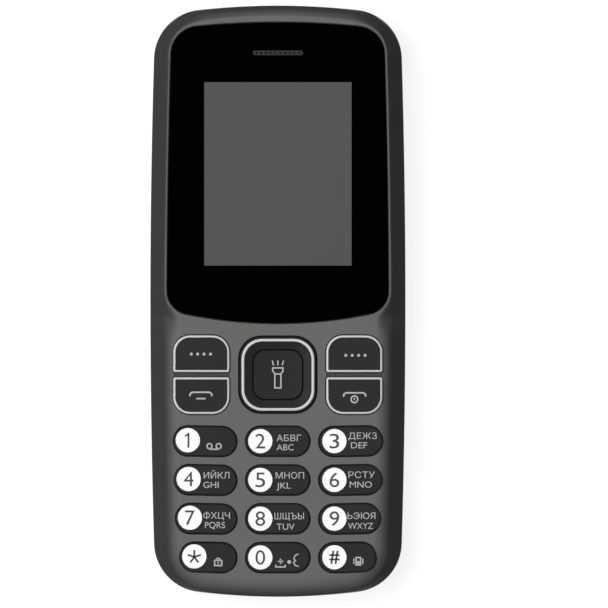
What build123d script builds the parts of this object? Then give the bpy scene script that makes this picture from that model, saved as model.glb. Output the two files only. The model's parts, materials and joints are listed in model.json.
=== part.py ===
from build123d import *
import math
import os

# A feature phone lying on its back. X runs across it, Y towards the earpiece, Z out of the screen.
# The origin is on the back face, under the middle of the body. Every length is in millimetres.

# Layout of the front, from the top edge down
lens_top_margin = 3.3
lens_brow = 11.25
view_length = 35.04
lens_foot = 10.86
nav_drop = 9.84
row_drop = 12.66
row_pitch = 7.38
row_count = 4
chin = 7.51

# Layout of the front, from the middle out to the side
middle_key_width = 12.1
column_gap = 1.8
side_key_width = 12.04
key_margin = 4.41

# Body outline, seen from the front
body_width = middle_key_width + 2 * (column_gap + side_key_width + key_margin)
lens_length = lens_brow + view_length + lens_foot
body_length = lens_top_margin + lens_length + nav_drop + row_drop + (row_count - 1) * row_pitch + chin
side_crown = 0.95
top_crown = 2.0
bottom_crown = 2.2
corner_radius = 9.5

# Heights above the back
cover_wall = 1.1
cover_gap = 0.1
battery_thickness = 5.9
battery_gap = 0.05
floor_thickness = 1.4
board_thickness = 0.8
dome_space = 0.7
mat_web = 0.4
pad_height = 1.0
flange_thickness = 0.8
flange_gap = 0.1
face_wall = 1.2
bay_back_z = cover_wall + cover_gap
battery_back_z = bay_back_z + battery_gap
battery_front_z = battery_back_z + battery_thickness
housing_top_z = battery_front_z + battery_gap + floor_thickness
board_top_z = housing_top_z + board_thickness
web_z = board_top_z + dome_space
web_top_z = web_z + mat_web
flange_z = web_top_z + pad_height
flange_top_z = flange_z + flange_thickness
ceiling_z = flange_top_z + flange_gap
face_z = ceiling_z + face_wall
parting_z = 3.9
parting_gap = 0.05
overrun = 1.0

# Front cover
front_wall = 1.3
ledge_inset = 3.23
ceiling_inset = 3.6
slope_drop = 0.55
shoulder_radius = 4.3
shoulder_angle = 50
shoulder_steps = 4
slope_width = 2.3
face_inset_top = 2.55
face_inset_bottom = 3.35
face_corner = 7.5
slope_corner = 8.9
edge_land = 0.05
plateau_drop = 4.8
boss_radius = 1.8
small_boss_radius = 1.45
pilot_radius = 0.7
shoulder_turn = math.radians(shoulder_angle)
face_side_inset = slope_width + shoulder_radius * math.sin(shoulder_turn)
slope_top_z = face_z - shoulder_radius * (1 - math.cos(shoulder_turn))
slope_foot_z = slope_top_z - slope_width * math.tan(shoulder_turn)
cover_slope_z = slope_foot_z - slope_drop

# Display lens, its seat and its tape
lens_side_margin = 3.3
lens_flare = 1.8
lens_top_crown = 1.3
lens_bottom_crown = 2.6
lens_side_crown = 0.2
lens_top_corner = 5.3
lens_bottom_corner = 4.4
lens_gap = 0.1
lens_sink = 0.05
lens_rim = 0.45
rim_chamfer = 0.25
tape_thickness = 0.15
tape_inset = 0.5
ledge_thickness = 0.6
lens_seat_z = ceiling_z
lens_z = lens_seat_z + tape_thickness
lens_top_z = face_z - lens_sink
lens_top_y = body_length / 2 - lens_top_margin
lens_bottom_y = lens_top_y - lens_length
lens_bottom_width = body_width - 2 * lens_side_margin
lens_top_width = lens_bottom_width - lens_flare
ledge_z = lens_seat_z - ledge_thickness
pocket_margin = 1.0
pocket_top_y = lens_bottom_y - pocket_margin

# Earpiece slot and insert
slot_drop = 5.73
slot_width = 9.7
slot_height = 1.0
slot_fit = 0.05
slot_sink = 0.2
slot_seat = 0.2
slot_tape_gap = 0.3
mesh_hole_radius = 0.18
mesh_hole_pitch = 0.9
mesh_hole_count = 10
slot_y = lens_top_y - slot_drop

# Number keys
key_height = 5.6
key_proud = 0.35
key_gap = 0.15
key_edge = 0.25
key_tilt = 1.0
flange_width = 0.4
flange_margin = 0.15
opening_chamfer = 0.12
outer_reach_shares = (1.0, 0.996, 0.98, 0.939)
outer_reach = body_width / 2 - key_margin
nav_y = lens_bottom_y - nav_drop
first_row_y = nav_y - row_drop
key_top_z = face_z + key_proud

# Soft keys above, call and end keys below
command_key_height = 6.98
command_key_gap = 1.0
command_nav_gap = 1.87
command_round = 3.2
command_sharp = 0.4

# Navigation ring, centre key and the rocker pad under the ring
nav_width = 14.7
nav_length = 14.5
nav_corner = 4.2
nav_proud = 0.5
nav_edge = 0.4
nav_chamfer = 0.35
nav_flange_thickness = 0.45
ok_width = 9.3
ok_corner = 2.2
ok_gap = 0.2
ok_sink = 0.15
ok_dish_radius = 60.0
ok_dish_depth = 0.25
ok_flange_width = 0.35
ok_flange_thickness = 0.3
ok_pad_height = 0.4
rocker_thickness = 0.4
rocker_pad_height = 0.3
rocker_gap = 0.3
rocker_edge = 0.25
nav_top_z = face_z + nav_proud
ok_z = web_top_z + ok_pad_height
ok_top_z = nav_top_z - ok_sink
rocker_z = web_top_z + rocker_pad_height
ring_z = rocker_z + rocker_thickness + rocker_gap

# Keypad mat, dome sheet and domes
mat_inset = 3.9
pad_inset = 0.3
nub_radius = 1.0
nub_gap = 0.05
sheet_inset = 3.0
sheet_thickness = 0.12
dome_radius = 2.0
dome_height = 0.3
dome_window_gap = 0.15
nav_dome_reach = 6.2
nav_dome_radius = 1.1
nav_nub_radius = 0.5
mat_margin = 0.5
mat_trim = 0.2

# Display module
view_width = 28.03
lcd_window_margin = 1.5
lcd_side_border = 3.185
lcd_top_border = 2.96
lcd_bottom_border = 7.7
panel_thickness = 1.0
panel_inset = 0.3
panel_ledge = 2.0
lcd_corner = 0.5
gasket_thickness = 0.3
flex_width = 14.0
flex_thickness = 0.15
flex_reach = 1.0
flex_tail = 2.2
view_y = lens_top_y - lens_brow - view_length / 2
lcd_width = view_width + 2 * lcd_side_border
lcd_length = view_length + lcd_top_border + lcd_bottom_border
lcd_bottom_y = view_y - view_length / 2 - lcd_bottom_border
lcd_y = lcd_bottom_y + lcd_length / 2
panel_top_z = ledge_z - gasket_thickness
panel_z = panel_top_z - panel_thickness

# Battery and its bay
battery_side_gap = 0.2
battery_edge = 0.8
battery_top_drop = 44.3
battery_jack_room = 1.5
jack_setback = 0.8
jack_nose_length = 1.6
jack_body_length = 11.4
battery_bottom_rise = jack_setback + jack_nose_length + jack_body_length + battery_jack_room
battery_length = body_length - battery_top_drop - battery_bottom_rise
bay_length = battery_length + 2 * battery_side_gap
bay_top_y = body_length / 2 - battery_top_drop + battery_side_gap
bay_bottom_y = bay_top_y - bay_length
battery_y = (bay_top_y + bay_bottom_y) / 2

# Rear housing
housing_gap = 0.1
housing_wall = 1.0
skirt_inset = 4.6
skirt_top_z = parting_z + housing_gap
flange_floor = 0.9
pocket_floor = 1.0
bay_end_wall = 2.0
bay_corner = 0.8
cradle_width = 1.6
cradle_gap = 0.05
housing_inset = front_wall + housing_gap
shelf_z = skirt_top_z + flange_floor
deep_floor_z = bay_back_z + pocket_floor
upper_pocket_y = bay_top_y + bay_end_wall
lower_pocket_y = bay_bottom_y - housing_wall

# Battery cover
back_edge_radius = 3.7
back_edge_steps = 4
hook_length = 4.0
hook_thickness = 0.8
hook_height = 1.8
hook_root = 1.1
hook_gap = 0.15
hook_spacing = 26.0
hook_count = 3
nail_notch_length = 8.0
nail_notch_depth = 0.7
nail_notch_height = 0.7
grille_slot_width = 1.0
grille_slot_length = 8.0
grille_slot_pitch = 2.2
grille_slot_count = 5
cover_rim_z = parting_z - parting_gap

# Screws
screw_radius = 0.8
screw_head_radius = 1.3
screw_head_height = 0.9
screw_length = 4.6
screw_seat = 1.9
screw_gap = 0.1
screw_hole_gap = 0.15
drive_width = 0.35
drive_depth = 0.4
post_wall = 1.1
top_screw_drop = 9.8
top_screw_inset = 4.7
side_screw_drop = 10.7
side_screw_inset = 3.7
side_screw_wall = 2.0
bottom_screw_x = 6.5
bottom_screw_rise = 3.3
screw_pocket_z = skirt_top_z + screw_seat
side_screw_x = body_width / 2 - side_screw_inset
bay_width = 2 * (side_screw_x - screw_head_radius - screw_gap - side_screw_wall)
battery_width = bay_width - 2 * battery_side_gap

# Main board and what it carries
board_inset = 2.2
boss_board_gap = 0.2
shield_x = 11.0
shield_width = 14.0
shield_length = 18.0
shield_height = 1.7
shield_wall = 0.2
chip_thickness = 1.0
chip_gap = 1.0
large_chip = 8.0
small_chip = 5.0
light_width = 1.6
light_length = 0.8
light_height = 0.4
light_window_gap = 0.2

# Card sockets
sim_width = 15.4
sim_length = 17.0
sim_spacing = 16.6
sim_top_drop = 8.0
card_width = 12.4
card_length = 14.0
card_drop = 5.0
card_slit = 0.8
card_slit_margin = 0.9
socket_gap = 0.1
sim_y = bay_top_y - sim_top_drop - sim_length / 2
card_y = sim_y - sim_length / 2 - card_drop - card_length / 2
sim_places = [(side * sim_spacing / 2, sim_y, sim_width, sim_length) for side in (-1, 1)]
card_place = (0, card_y, card_width, card_length)
socket_heights = (battery_front_z + battery_gap, housing_top_z)

# Battery connector
connector_width = 11.0
connector_length = 3.6
connector_height = 4.0
connector_gap = 0.9
contact_count = 3
contact_pitch = 3.2
contact_width = 1.0
contact_thickness = 1.4
contact_nose_share = 0.33
contact_gap = 0.05
contact_depth = 1.2
connector_y = bay_top_y + connector_gap + connector_length / 2
connector_z = housing_top_z - connector_height

# USB socket
usb_width = 7.5
usb_height = 2.7
usb_depth = 5.6
usb_wall = 0.3
usb_corner = 0.7
usb_setback = 0.3
usb_gap = 0.3
usb_tongue_width = 4.0
usb_tongue_height = 0.7
usb_tongue_length = 4.0
usb_z = housing_top_z - usb_height / 2

# Headphone jack
jack_x = 12.0
jack_width = 6.2
jack_height = 4.2
jack_nose_radius = 2.15
jack_bore_radius = 1.8
jack_bore_length = 12.0
jack_gap = 0.1
jack_z = housing_top_z - jack_height / 2

# Microphone and boot
microphone_x = -12.0
microphone_radius = 1.3
microphone_length = 1.5
boot_wall = 0.4
sound_hole_radius = 0.5
boot_setback = 3.5
microphone_z = housing_top_z - microphone_radius - boot_wall

# Vibration motor
motor_x = -11.8
motor_rise = 9.3
motor_radius = 2.0
motor_length = 8.0
motor_shaft_radius = 0.4
motor_shaft_gap = 0.04
motor_shaft_depth = 1.5
motor_drop = 2.5
weight_radius = 2.2
weight_hub_radius = 0.9
weight_length = 3.2
weight_gap = 0.3
motor_y = -body_length / 2 + motor_rise
motor_z = housing_top_z - motor_drop

# Loudspeaker, camera, receiver, torch and antenna
speaker_x = -9.0
speaker_radius = 7.5
speaker_height = 3.5
speaker_edge = 0.5
speaker_gap = 0.2
speaker_ring_wall = 0.8
mesh_thickness = 0.2
camera_width = 6.4
camera_height = 3.4
camera_drop = 11.8
barrel_radius = 2.5
barrel_gap = 0.25
camera_window_radius = 3.2
camera_window_thickness = 0.7
camera_window_sink = 0.15
camera_lip = 0.6
camera_fit = 0.05
receiver_width = 10.0
receiver_length = 5.6
receiver_corner = 1.2
receiver_gap = 0.59
torch_width = 2.8
torch_length = 2.0
torch_height = 1.5
torch_lens_width = 4.2
torch_lens_height = 2.2
torch_lens_length = 2.0
torch_lens_corner = 0.6
torch_lens_gap = 0.05
torch_room = 0.3
torch_setback = 0.25
torch_lens_z = housing_top_z - torch_lens_height / 2
antenna_width = 26.0
antenna_length = 1.8
antenna_thickness = 0.2
antenna_slit = 0.7
antenna_foot = 1.0
antenna_slit_count = 7
camera_y = body_length / 2 - camera_drop
speaker_y = (upper_pocket_y + camera_y - camera_width / 2) / 2
receiver_y = lcd_y + (lcd_length + receiver_length) / 2 + receiver_gap


def slab(outline, low_z, high_z):
    """A flat-ended solid between two heights."""
    return extrude(Pos(0, 0, low_z) * outline, high_z - low_z)


def block(width, length, low_z, high_z, x=0, y=0):
    """A plain box centred on x, y between two heights."""
    return slab(Pos(x, y) * Rectangle(width, length), low_z, high_z)


def flared(outline, low_z, high_z, chamfer):
    """A cutter whose last stretch widens by the chamfer. outline(grow) gives its section."""
    straight = slab(outline(0), low_z, high_z)
    mouth = loft([Pos(0, 0, high_z - chamfer) * outline(0), Pos(0, 0, high_z) * outline(chamfer)], ruled=True)
    return straight + mouth


def crowned_outline(half_widths, ends, crowns, bow):
    """Four arcs: crowned top and bottom edges, sides that bow out a little.

    half_widths, ends and crowns each hold the top edge's value, then the bottom edge's.
    """
    top_half, bottom_half = half_widths
    top_y, bottom_y = ends
    top_corner_y = top_y - crowns[0]
    bottom_corner_y = bottom_y + crowns[1]
    middle_y = (top_corner_y + bottom_corner_y) / 2
    middle_x = (top_half + bottom_half) / 2 + bow
    edges = [
        ThreePointArc((-top_half, top_corner_y), (0, top_y), (top_half, top_corner_y)),
        ThreePointArc((top_half, top_corner_y), (middle_x, middle_y), (bottom_half, bottom_corner_y)),
        ThreePointArc((bottom_half, bottom_corner_y), (0, bottom_y), (-bottom_half, bottom_corner_y)),
        ThreePointArc((-bottom_half, bottom_corner_y), (-middle_x, middle_y), (-top_half, top_corner_y)),
    ]
    return make_face(edges)


def plan_outline(side, top, bottom, radius):
    """The body's outline drawn in by its own amount at the sides, the top and the bottom."""
    half = body_width / 2 - side - side_crown
    high = body_length / 2 - top
    low = -body_length / 2 + bottom
    outline = crowned_outline((half, half), (high, low), (top_crown, bottom_crown), side_crown)
    return fillet(outline.vertices(), radius)


def inset_outline(inset):
    """The body's outline drawn in by the same amount all round."""
    return plan_outline(inset, inset, inset, corner_radius - inset)


def lens_outline(grow=0):
    """The display lens seen from the front, grown by a margin."""
    top_half = lens_top_width / 2 + grow
    bottom_half = lens_bottom_width / 2 + grow
    ends = (lens_top_y + grow, lens_bottom_y - grow)
    crowns = (lens_top_crown, lens_bottom_crown)
    outline = crowned_outline((top_half, bottom_half), ends, crowns, lens_side_crown)
    top_corners = outline.vertices().sort_by(Axis.Y)[-2:]
    outline = fillet(top_corners, lens_top_corner + grow)
    bottom_corners = outline.vertices().sort_by(Axis.Y)[:2]
    return fillet(bottom_corners, lens_bottom_corner + grow)


def slot_outline(grow=0):
    """The earpiece slot seen from the front."""
    return Pos(0, slot_y) * SlotOverall(slot_width + 2 * grow, slot_height + 2 * grow)


def view_window():
    """The hole in the lens ledge that the display shows through."""
    width = view_width + 2 * lcd_window_margin
    length = view_length + 2 * lcd_window_margin
    return Pos(0, view_y) * RectangleRounded(width, length, lcd_corner)


def below(outline, limit_y):
    """The part of an outline under a line across the body."""
    return outline & Pos(0, limit_y - body_length / 2) * Rectangle(body_width, body_length)


def above(outline, limit_y):
    """The part of an outline over a line across the body."""
    return outline & Pos(0, limit_y + body_length / 2) * Rectangle(body_width, body_length)


# Key outlines

def number_key_outline(column, row, grow=0):
    """A number key, a capsule that tilts up towards the side in the outer columns."""
    y = first_row_y - row * row_pitch
    if column == 0:
        return Pos(0, y) * SlotOverall(middle_key_width + 2 * grow, key_height + 2 * grow)
    inner = middle_key_width / 2 + column_gap
    outer = outer_reach * outer_reach_shares[row]
    capsule = SlotOverall(outer - inner + 2 * grow, key_height + 2 * grow)
    return Pos(column * (inner + outer) / 2, y) * Rot(0, 0, column * key_tilt) * capsule


def command_key_outline(side, level, grow=0):
    """A soft key (level 1) or call key (level -1): two round corners away from its neighbour."""
    inner = nav_width / 2 + command_nav_gap
    width = outer_reach - inner
    height = command_key_height
    outline = Rectangle(width + 2 * grow, height + 2 * grow)
    round_corners = outline.vertices().sort_by(Axis.Y)[-2:]
    outline = fillet(round_corners, command_round + grow)
    sharp_corners = outline.vertices().sort_by(Axis.Y)[:2]
    outline = fillet(sharp_corners, command_sharp + grow)
    if level < 0:
        outline = Rot(0, 0, 180) * outline
    return Pos(side * (inner + outer_reach) / 2, nav_y + level * (command_key_gap + height) / 2) * outline


def nav_outline(grow=0):
    """The navigation ring's outer edge."""
    width = nav_width + 2 * grow
    length = nav_length + 2 * grow
    return Pos(0, nav_y) * RectangleRounded(width, length, nav_corner + grow)


def ok_outline(grow=0):
    """The centre key."""
    return Pos(0, nav_y) * RectangleRounded(ok_width + 2 * grow, ok_width + 2 * grow, ok_corner + grow)


# Both lists run from left to right, then down
number_key_names = ["key_1", "key_2", "key_3", "key_4", "key_5", "key_6",
                    "key_7", "key_8", "key_9", "key_star", "key_0", "key_hash"]
command_key_names = ["soft_key_left", "soft_key_right", "call_key", "end_key"]


def slide_key_outlines():
    """One function of grow for each key that slides straight in, by name."""
    outlines = {}
    for index, name in enumerate(command_key_names):
        side = 1 if index % 2 else -1
        level = -1 if index // 2 else 1
        outlines[name] = lambda grow=0, side=side, level=level: command_key_outline(side, level, grow)
    for index, name in enumerate(number_key_names):
        row, column = divmod(index, 3)
        outlines[name] = lambda grow=0, column=column - 1, row=row: number_key_outline(column, row, grow)
    return outlines


key_outlines = slide_key_outlines()


def outline_centre(outline):
    """The middle of an outline's box, as x and y."""
    centre = outline().bounding_box().center()
    return centre.X, centre.Y


dome_places = [outline_centre(outline) for outline in key_outlines.values()] + [(0, nav_y)]
nav_dome_places = [(0, nav_y + nav_dome_reach), (0, nav_y - nav_dome_reach),
                   (nav_dome_reach, nav_y), (-nav_dome_reach, nav_y)]
column_x = (middle_key_width + column_gap) / 2
light_places = [(side * column_x, first_row_y - row * row_pitch - row_pitch / 2)
                for side in (-1, 1) for row in range(row_count - 1)]


# Screw places: two by the earpiece, two beside the battery, two in the chin
top_screw_x = body_width / 2 - top_screw_inset
top_screw_places = [(side * top_screw_x, body_length / 2 - top_screw_drop) for side in (-1, 1)]
side_screw_places = [(side * side_screw_x, bay_top_y - side_screw_drop) for side in (-1, 1)]
bottom_screw_places = [(side * bottom_screw_x, -body_length / 2 + bottom_screw_rise) for side in (-1, 1)]
screw_places = top_screw_places + side_screw_places + bottom_screw_places


def pillars(places, radius, low_z, high_z):
    """One round solid at each place."""
    return [slab(Pos(x, y) * Circle(radius), low_z, high_z) for x, y in places]


def along_y(outline, x, z, low_y, high_y):
    """A solid with the same section all the way between two places along the body."""
    return extrude(Pos(x, high_y, z) * Rot(90, 0, 0) * outline, high_y - low_y)


def mix(start, end, share):
    """The value that lies a share of the way from start to end."""
    return start + (end - start) * share


# Front cover

def shoulder_form():
    """The body above the parting line: flat face, soft shoulders, straight slopes, upright sides."""
    sections = []
    for step in range(shoulder_steps + 1):
        angle = shoulder_turn * step / shoulder_steps
        share = math.sin(angle) / math.sin(shoulder_turn)
        side = mix(face_side_inset, slope_width, share)
        top = mix(face_inset_top, edge_land, share)
        bottom = mix(face_inset_bottom, edge_land, share)
        corner = mix(face_corner, slope_corner, share)
        section_z = face_z - shoulder_radius * (1 - math.cos(angle))
        sections.append(Pos(0, 0, section_z) * plan_outline(side, top, bottom, corner))
    shoulder = loft(sections)
    slope = loft([sections[-1], Pos(0, 0, slope_foot_z) * inset_outline(0)], ruled=True)
    return shoulder + slope + slab(inset_outline(0), parting_z, slope_foot_z)


def lens_plateau():
    """The raised land round the lens, which slopes out to the sides and stops at the outline."""
    rim = lens_gap + lens_rim
    spread = plateau_drop / math.tan(shoulder_turn)
    top = Pos(0, 0, face_z) * lens_outline(rim)
    foot = Pos(0, 0, face_z - plateau_drop) * lens_outline(rim + spread)
    return loft([top, foot], ruled=True) & slab(inset_outline(0), parting_z, face_z)


def cover_cavity():
    """The room inside the front cover, lower under the lens than under the keys."""
    room = slab(inset_outline(front_wall), parting_z - overrun, cover_slope_z)
    ledge_section = Pos(0, 0, ledge_z) * inset_outline(ledge_inset)
    room += loft([Pos(0, 0, cover_slope_z) * inset_outline(front_wall), ledge_section], ruled=True)
    ceiling_section = Pos(0, 0, ceiling_z) * inset_outline(ceiling_inset)
    key_room = loft([ledge_section, ceiling_section], ruled=True)
    keypad_side = below(Rectangle(body_width, body_length), pocket_top_y)
    return room + (key_room & slab(keypad_side, ledge_z, ceiling_z))


def key_openings():
    """The holes that the keys and the navigation ring stand in."""
    outlines = list(key_outlines.values()) + [nav_outline]
    return [flared(lambda grow, outline=outline: outline(key_gap + grow), flange_z, face_z, opening_chamfer)
            for outline in outlines]


def end_openings():
    """The holes in the two end walls: USB, headphones, sound and torch."""
    bottom_y = -body_length / 2
    inner_y = bottom_y + front_wall + housing_gap + housing_wall + overrun
    usb = RectangleRounded(usb_width + 2 * usb_gap, usb_height + 2 * usb_gap, usb_corner + usb_gap)
    torch = RectangleRounded(torch_lens_width + 2 * torch_lens_gap, torch_lens_height + 2 * torch_lens_gap,
                             torch_lens_corner + torch_lens_gap)
    return [
        along_y(usb, 0, usb_z, bottom_y - overrun, inner_y),
        along_y(Circle(jack_nose_radius + jack_gap), jack_x, jack_z, bottom_y - overrun, inner_y),
        along_y(Circle(sound_hole_radius), microphone_x, microphone_z, bottom_y - overrun, inner_y),
        along_y(torch, 0, torch_lens_z, -inner_y, -bottom_y + overrun),
    ]


def front_cover():
    """The front shell with its lens seat, key openings, screw bosses and end openings."""
    boss_top_z = ceiling_z + face_wall / 2
    cover = shoulder_form() + lens_plateau() - cover_cavity()
    cover += pillars(top_screw_places + side_screw_places, boss_radius, housing_top_z, boss_top_z)
    cover += pillars(bottom_screw_places, small_boss_radius, housing_top_z, boss_top_z)
    cover -= flared(lambda grow: lens_outline(lens_gap + grow), lens_seat_z, face_z, rim_chamfer)
    cover -= slab(view_window(), ledge_z, lens_seat_z)
    cover -= slab(slot_outline(-slot_seat), ledge_z, lens_seat_z)
    cover -= pillars(screw_places, pilot_radius, housing_top_z, screw_pocket_z + screw_length + screw_gap)
    return cover - key_openings() - end_openings()


# Rear housing

def housing_pockets():
    """The rooms above and below the battery bay, open towards the board."""
    shallow = inset_outline(housing_inset + housing_wall)
    deep = inset_outline(skirt_inset + housing_wall)
    rooms = []
    for part_of, limit_y in ((above, upper_pocket_y), (below, lower_pocket_y)):
        rooms.append(slab(part_of(shallow, limit_y), shelf_z, housing_top_z))
        rooms.append(slab(part_of(deep, limit_y), deep_floor_z, shelf_z))
    return rooms


def housing_posts():
    """The posts that hold the end screws, the ring round the loudspeaker and the motor cradles."""
    post_radius = screw_head_radius + screw_gap + post_wall
    flange = inset_outline(housing_inset)
    posts = [slab((Pos(x, y) * Circle(post_radius)) & flange, skirt_top_z, housing_top_z)
             for x, y in top_screw_places + bottom_screw_places]
    ring_bore = speaker_radius + speaker_gap
    ring = Pos(speaker_x, speaker_y) * (Circle(ring_bore + speaker_ring_wall) - Circle(ring_bore))
    posts.append(slab(ring, deep_floor_z, shelf_z))
    for side in (-1, 1):
        x = motor_x + side * (motor_length - cradle_width) / 2
        cradle = block(cradle_width, 2 * (motor_radius + cradle_gap), deep_floor_z, motor_z, x, motor_y)
        posts.append(cradle - motor_bore())
    return posts


def motor_bore():
    """The round seat that the motor lies in."""
    seat = Cylinder(motor_radius + cradle_gap, motor_length + 2 * overrun)
    return Pos(motor_x, motor_y, motor_z) * Rot(0, 90, 0) * seat


def hook_bands(out_inset, in_inset, length):
    """Strips along both sides of the body between two insets, one pair at each hook."""
    strip = inset_outline(out_inset) - inset_outline(in_inset)
    bands = []
    for index in range(hook_count):
        y = battery_y + (index - (hook_count - 1) / 2) * hook_spacing
        bands.append(strip & Pos(0, y) * Rectangle(body_width, length))
    return bands


def hook_notches():
    """The notches in the rear housing that the battery cover's hooks slide into."""
    inner = front_wall + hook_gap + hook_thickness + hook_gap
    return [slab(band, skirt_top_z, cover_rim_z + hook_height + hook_gap)
            for band in hook_bands(front_wall, inner, hook_length + 2 * hook_gap)]


def socket_windows():
    """The windows in the bay floor that the card sockets stand in."""
    return [block(width + 2 * socket_gap, length + 2 * socket_gap, battery_front_z, housing_top_z, x, y)
            for x, y, width, length in sim_places + [card_place]]


def housing_end_notches():
    """Room in the rear housing's end walls for the parts that reach outside."""
    bottom_y = -body_length / 2
    usb_room_width = usb_width + 2 * jack_gap
    usb_room_length = usb_depth + usb_setback + jack_gap
    jack_room_width = jack_width + 2 * jack_gap
    jack_room_length = jack_setback + jack_nose_length + jack_body_length + jack_gap
    torch_room_width = torch_lens_width + 2 * torch_room
    torch_room_length = torch_setback + torch_lens_length + torch_room
    return [
        block(usb_room_width, usb_room_length, usb_z - usb_height / 2 - jack_gap, housing_top_z,
              0, bottom_y + usb_room_length / 2),
        block(jack_room_width, jack_room_length, jack_z - jack_height / 2 - jack_gap, housing_top_z,
              jack_x, bottom_y + jack_room_length / 2),
        block(torch_room_width, torch_room_length, torch_lens_z - torch_lens_height / 2 - torch_room,
              housing_top_z, 0, -bottom_y - torch_room_length / 2),
        along_y(Circle(sound_hole_radius), microphone_x, microphone_z, bottom_y, bottom_y + boot_setback),
    ]


def grille_slots(low_z, high_z):
    """The loudspeaker's slots."""
    return [block(grille_slot_width, grille_slot_length, low_z, high_z,
                  speaker_x + (index - (grille_slot_count - 1) / 2) * grille_slot_pitch, speaker_y)
            for index in range(grille_slot_count)]


def rear_housing():
    """The chassis behind the board: battery bay, pockets for the parts, screw posts and notches."""
    bay_floor_z = battery_front_z + battery_gap
    housing = slab(inset_outline(skirt_inset), bay_back_z, skirt_top_z)
    housing += slab(inset_outline(housing_inset), skirt_top_z, housing_top_z)
    housing = housing - housing_pockets() + housing_posts()
    bay = Pos(0, battery_y) * RectangleRounded(bay_width, bay_length, bay_corner)
    window_width = connector_width + 2 * socket_gap
    window_y = (bay_top_y + upper_pocket_y) / 2
    housing -= slab(bay, bay_back_z, bay_floor_z)
    housing -= block(window_width, bay_end_wall, connector_z - socket_gap, housing_top_z, 0, window_y)
    housing -= socket_windows() + hook_notches() + housing_end_notches()
    housing -= grille_slots(bay_back_z, deep_floor_z)
    housing -= slab(Pos(0, camera_y) * Circle(barrel_radius + barrel_gap), bay_back_z, deep_floor_z)
    housing -= pillars(screw_places, screw_head_radius + screw_gap, bay_back_z, screw_pocket_z)
    return housing - pillars(screw_places, screw_radius + screw_hole_gap, screw_pocket_z, housing_top_z)


# Battery cover

def rounded_tub(offset, top_z):
    """A solid with rounded back edges, drawn in from the cover's outside by an offset."""
    radius = back_edge_radius - offset
    sections = []
    for step in range(back_edge_steps + 1):
        angle = math.pi / 2 * step / back_edge_steps
        inset = offset + radius * (1 - math.sin(angle))
        sections.append(Pos(0, 0, offset + radius * (1 - math.cos(angle))) * inset_outline(inset))
    return loft(sections) + slab(inset_outline(offset), back_edge_radius, top_z)


def cover_hooks():
    """The hooks along the cover's sides, each a root on the wall and a tongue above it."""
    tongue_out = front_wall + hook_gap
    tongue_in = tongue_out + hook_thickness
    tongues = [slab(band, cover_rim_z - hook_root, cover_rim_z + hook_height)
               for band in hook_bands(tongue_out, tongue_in, hook_length)]
    roots = [slab(band, cover_rim_z - hook_root, cover_rim_z)
             for band in hook_bands(cover_wall / 2, tongue_in, hook_length)]
    return tongues + roots


def battery_cover():
    """The removable back: a rounded tub with hooks, loudspeaker slots and a camera window seat."""
    cover = rounded_tub(0, cover_rim_z) - rounded_tub(cover_wall, cover_rim_z + overrun)
    cover += cover_hooks()
    cover -= grille_slots(0, cover_wall)
    window_seat_z = camera_window_sink + camera_window_thickness
    camera_place = Pos(0, camera_y)
    cover -= slab(camera_place * Circle(camera_window_radius + camera_fit), 0, window_seat_z)
    cover -= slab(camera_place * Circle(camera_window_radius - camera_lip), window_seat_z, cover_wall)
    notch_length = 2 * nail_notch_depth
    return cover - block(nail_notch_length, notch_length, cover_rim_z - nail_notch_height, cover_rim_z,
                         0, -body_length / 2)


def camera_window():
    """The clear disc in the battery cover over the camera."""
    disc = Pos(0, camera_y) * Circle(camera_window_radius)
    return slab(disc, camera_window_sink, camera_window_sink + camera_window_thickness)


# Lens, earpiece insert and tape

def display_lens():
    """The window over the display, with the earpiece slot through it."""
    lens = slab(lens_outline(), lens_z, lens_top_z)
    return lens - slab(slot_outline(), lens_z, lens_top_z)


def lens_tape():
    """The adhesive frame under the lens."""
    tape = lens_outline(-tape_inset) - view_window() - slot_outline(slot_tape_gap)
    return slab(tape, lens_seat_z, lens_z)


def earpiece_mesh():
    """The perforated insert in the earpiece slot."""
    insert = slab(slot_outline(-slot_fit), lens_seat_z, lens_top_z - slot_sink)
    places = [((index - (mesh_hole_count - 1) / 2) * mesh_hole_pitch, slot_y)
              for index in range(mesh_hole_count)]
    return insert - pillars(places, mesh_hole_radius, lens_seat_z, lens_top_z)


def torch_lens():
    """The clear block in the top edge in front of the torch light."""
    section = RectangleRounded(torch_lens_width, torch_lens_height, torch_lens_corner)
    front_y = body_length / 2 - torch_setback
    return along_y(section, 0, torch_lens_z, front_y - torch_lens_length, front_y)


# Display module

def lcd_outline(inset=0):
    """The display module seen from the front."""
    return Pos(0, lcd_y) * RectangleRounded(lcd_width - 2 * inset, lcd_length - 2 * inset, lcd_corner)


def lcd_backlight():
    """The lit tray behind the display panel."""
    return slab(lcd_outline(), board_top_z, panel_z)


def lcd_panel():
    """The glass display panel, which stops short of the tray at its flex cable."""
    panel = above(lcd_outline(panel_inset), lcd_bottom_y + panel_ledge)
    return slab(panel, panel_z, panel_top_z)


def lcd_gasket():
    """The foam frame between the display and the lens ledge."""
    frame = above(lcd_outline(panel_inset), lcd_bottom_y + panel_ledge) - view_window()
    return slab(frame, panel_top_z, ledge_z)


def lcd_flex():
    """The flat cable that runs over the tray's edge and down onto the board."""
    edge_y = lcd_bottom_y - flex_reach
    lap_y = lcd_bottom_y + panel_ledge
    tail_y = edge_y - flex_tail
    top = block(flex_width, lap_y - edge_y, panel_z, panel_z + flex_thickness, 0, (lap_y + edge_y) / 2)
    drop = block(flex_width, flex_thickness, board_top_z, panel_z + flex_thickness,
                 0, edge_y + flex_thickness / 2)
    tail = block(flex_width, edge_y + flex_thickness - tail_y, board_top_z, board_top_z + flex_thickness,
                 0, (edge_y + flex_thickness + tail_y) / 2)
    return top + drop + tail


# Keys

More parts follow.
